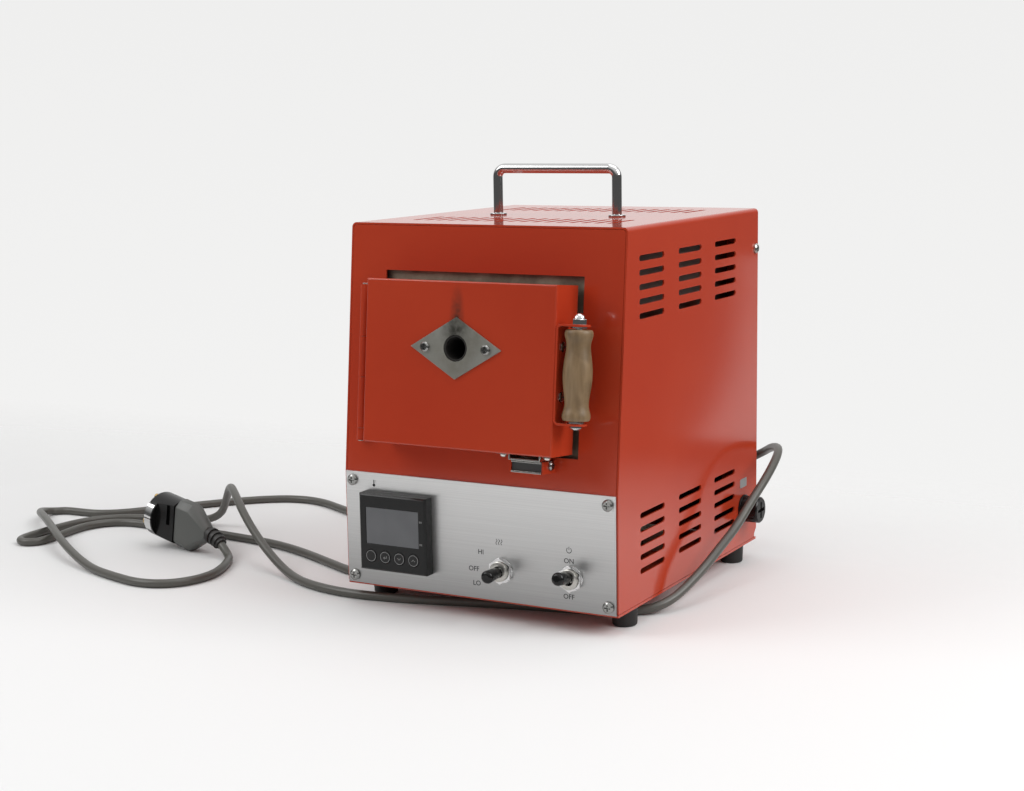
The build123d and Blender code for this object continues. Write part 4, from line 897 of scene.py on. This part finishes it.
def make_adapter_strip():
    """Bright bare strip let into the side of the adapter's flange."""
    low, high = ADAPTER_STRIP
    strip = bmesh.new()
    ends = [strip.verts.new((ADAPTER_RADIUS + STRIP_PROUD, 0, height)) for height in (low, high)]
    edge = strip.edges.new(ends)
    bmesh.ops.rotate(strip, verts=strip.verts, matrix=Matrix.Rotation(math.pi + STRIP_FROM, 3, "Z"))
    bmesh.ops.spin(strip, geom=ends + [edge], cent=(0, 0, 0), axis=(0, 0, 1), angle=STRIP_TO - STRIP_FROM,
                   steps=16)
    bmesh.ops.recalc_face_normals(strip, faces=strip.faces)
    bmesh.ops.solidify(strip, geom=strip.faces, thickness=STRIP_THICK)
    bmesh.ops.recalc_face_normals(strip, faces=strip.faces)
    return piece("adapter_strip", strip, adapter_place(), CHROME, "casing")


def finish_plug():
    """The pieces on the cord's end, their edges eased, and a bright strip on the adapter."""
    relief = eased("strain_relief", RELIEF, 0.3)
    plug = eased("plug_body", GREY, 0.7)
    adapter = eased("adapter", BLACK, 0.5)
    pins = eased("contact_pins", BRASS, 0.4)
    return [relief, plug, adapter, pins, make_adapter_strip()]


# ---- room ---------------------------------------------------------------------------------------
FLOOR_GREY = 0.80
SWEEP_GREY = 0.66
FLOOR_HALF = 1.6
FLOOR_SOLID = 0.55             # radius where the pale floor starts to fade into the backdrop
FLOOR_GONE = 1.25
SIDE_EDGE = (0.305, 0.345)     # the right edge of the paper sweep, softened
REAR_EDGE = (0.12, 0.42)       # where the floor gives way to the backdrop behind the object
SWEEP_LEFT = -1.3
SWEEP_WALL = 0.62              # how far behind the object the sweep stands upright
SWEEP_BEND = 0.12
SWEEP_TOP = 0.16
LOOK_DOWN, LOOK_UP = -0.30, 0.10        # the heights of view that the backdrop's tones belong to
BACKDROP_LOW, BACKDROP_HIGH = 0.905, 0.86
BACKDROP_WAY = (-0.49, 0.87, 0.0)       # the way from the camera to it
GLOSS_BACKDROP = (0.62, 0.86, 0.0, 0.86)    # how polished metal meets it, from its edge to its middle
GLOSS_CEILING = (0.12, 0.6, 0.10, 0.9)      # and the ceiling, from the dark walls upward
FILL_LIGHT = 0.45
LAMP_TARGET = (0.0, 0.0, 0.12)
LAMPS = [("left_lamp", (-0.9, -0.75, 1.0), 0.8, 7.0),       # place, size and power
         ("right_lamp", (1.45, 0.05, 1.15), 1.0, 20.0),
         ("top_lamp", (0.2, 0.1, 1.7), 1.3, 8.0)]


def stage_piece(name, shape, material):
    mesh = bpy.data.meshes.new(name)
    shape.to_mesh(mesh)
    shape.free()
    thing = bpy.data.objects.new(name, mesh)
    bpy.context.scene.collection.objects.link(thing)
    mesh.materials.append(material)
    return thing


def make_floor():
    """Pale floor that fades out into the backdrop, and for the polished faces also at the sweep's edge."""
    shape = bmesh.new()
    bmesh.ops.create_grid(shape, x_segments=1, y_segments=1, size=FLOOR_HALF)
    pale = new_material("floor", (FLOOR_GREY, FLOOR_GREY, FLOOR_GREY), 0.75)
    away = maths(pale, "LENGTH", object_space(pale), kind="ShaderNodeVectorMath").outputs["Value"]
    place = split_place(pale)
    within = value_range(pale, away, 1.0, 0.0, FLOOR_SOLID, FLOOR_GONE)
    left = value_range(pale, place["X"], 1.0, 0.0, *SIDE_EDGE)
    front = value_range(pale, place["Y"], 1.0, 0.0, *REAR_EDGE)
    by_camera = add(pale, "ShaderNodeLightPath").outputs["Is Camera Ray"]
    sideways = maths(pale, "MAXIMUM", left, by_camera).outputs["Value"]
    least = maths(pale, "MINIMUM", within, sideways).outputs["Value"]
    drive(pale, "Alpha", maths(pale, "MULTIPLY", least, front).outputs["Value"])
    stage_piece("floor", shape, pale)


def make_sweep():
    """The paper sweep's bend and wall, which the lamps and polished faces meet and the camera doesn't."""
    middle = (SWEEP_WALL - SWEEP_BEND, SWEEP_BEND)
    outline = arc(middle, SWEEP_BEND, -90, 0, 12) + [(SWEEP_WALL, SWEEP_TOP)]
    shape = bmesh.new()
    points = [shape.verts.new((SWEEP_LEFT, y, z + 0.001)) for y, z in outline]
    edges = [shape.edges.new(pair) for pair in zip(points, points[1:])]
    sheet = bmesh.ops.extrude_edge_only(shape, edges=edges)["geom"]
    new = [thing for thing in sheet if isinstance(thing, bmesh.types.BMVert)]
    bmesh.ops.translate(shape, vec=(SIDE_EDGE[0] - SWEEP_LEFT, 0, 0), verts=new)
    paper = new_material("sweep_paper", (SWEEP_GREY, SWEEP_GREY, SWEEP_GREY), 0.8)
    sweep = stage_piece("paper_sweep", shape, paper)
    sweep.visible_camera = False
    sweep.data.shade_smooth()


def add_lamp(name, place, size, power):
    """A soft square lamp that points at the object, in metres."""
    lamp = bpy.data.lights.new(name, "AREA")
    lamp.shape = "SQUARE"
    lamp.size = size
    lamp.energy = power
    thing = bpy.data.objects.new(name, lamp)
    bpy.context.scene.collection.objects.link(thing)
    thing.location = place
    thing.rotation_euler = (Vector(LAMP_TARGET) - Vector(place)).to_track_quat("-Z", "Y").to_euler()


def make_world():
    """Pale backdrop for the camera and in polished metal, a darker room to the sides, plain fill light."""
    world = bpy.data.worlds.new("studio")
    bpy.context.scene.world = world
    world.use_nodes = True
    tree = world.node_tree
    background = tree.nodes["Background"]
    path = tree.nodes.new("ShaderNodeLightPath")
    direction = tree.nodes.new("ShaderNodeTexCoord").outputs["Generated"]
    split = tree.nodes.new("ShaderNodeSeparateXYZ")
    tree.links.new(direction, split.inputs["Vector"])

    def mapped(value, start, end, low, high):
        node = tree.nodes.new("ShaderNodeMapRange")
        for socket, number in zip(("From Min", "From Max", "To Min", "To Max"), (start, end, low, high)):
            node.inputs[socket].default_value = number
        tree.links.new(value, node.inputs["Value"])
        return node.outputs["Result"]

    def mixed(factor, first, second):
        node = tree.nodes.new("ShaderNodeMix")
        tree.links.new(factor, node.inputs["Factor"])
        for socket, value in (("A", first), ("B", second)):
            if isinstance(value, float):
                node.inputs[socket].default_value = value
            else:
                tree.links.new(value, node.inputs[socket])
        return node.outputs["Result"]

    toward = tree.nodes.new("ShaderNodeVectorMath")
    toward.operation = "DOT_PRODUCT"
    toward.inputs[1].default_value = BACKDROP_WAY
    tree.links.new(direction, toward.inputs[0])
    brighter = tree.nodes.new("ShaderNodeMath")
    brighter.operation = "MAXIMUM"
    tree.links.new(mapped(toward.outputs["Value"], *GLOSS_BACKDROP), brighter.inputs[0])
    tree.links.new(mapped(split.outputs["Z"], *GLOSS_CEILING), brighter.inputs[1])
    backdrop = mapped(split.outputs["Z"], LOOK_DOWN, LOOK_UP, BACKDROP_LOW, BACKDROP_HIGH)
    lit = mixed(path.outputs["Is Glossy Ray"], FILL_LIGHT, brighter.outputs["Value"])
    lit = mixed(path.outputs["Is Transmission Ray"], lit, backdrop)
    tree.links.new(mixed(path.outputs["Is Camera Ray"], lit, backdrop), background.inputs["Strength"])
    background.inputs["Color"].default_value = (1.0, 0.998, 0.992, 1)


def light_room():
    for lamp in LAMPS:
        add_lamp(*lamp)
    make_world()


# ---- camera -------------------------------------------------------------------------------------
EYE = (529.155, -905.543, 291.336)
YAW = 0.5076
PITCH = 0.1578
ROLL = -0.0153
LENS = 62.895


def set_camera():
    forward = Vector((-math.sin(YAW) * math.cos(PITCH), math.cos(YAW) * math.cos(PITCH), -math.sin(PITCH)))
    level = Vector((math.cos(YAW), math.sin(YAW), 0))
    upright = level.cross(forward)
    right = math.cos(ROLL) * level + math.sin(ROLL) * upright
    up = -math.sin(ROLL) * level + math.cos(ROLL) * upright
    turn = Matrix((right, up, -forward)).transposed().to_4x4()
    data = bpy.data.cameras.new("camera")
    data.lens = LENS
    data.sensor_width = 36.0
    data.clip_start = 0.05
    data.clip_end = 20.0
    camera = bpy.data.objects.new("camera", data)
    bpy.context.scene.collection.objects.link(camera)
    camera.matrix_world = Matrix.Translation(DRAWN @ Vector(EYE)) @ turn
    bpy.context.scene.camera = camera


# ---- all of it ----------------------------------------------------------------------------------
finish_casing()
finish_carry_handle()
make_side_label()
finish_control_panel()
finish_door()
finish_catch()
finish_chamber()
finish_fuse_holder()
cord = make_cord()
tuple(DRAWN @ Vector(cord_route()[0]))
finish_plug()

make_floor()
make_sweep()
light_room()
set_camera()
bpy.context.scene.view_settings.view_transform = "Standard"

bpy.context.view_layer.update()
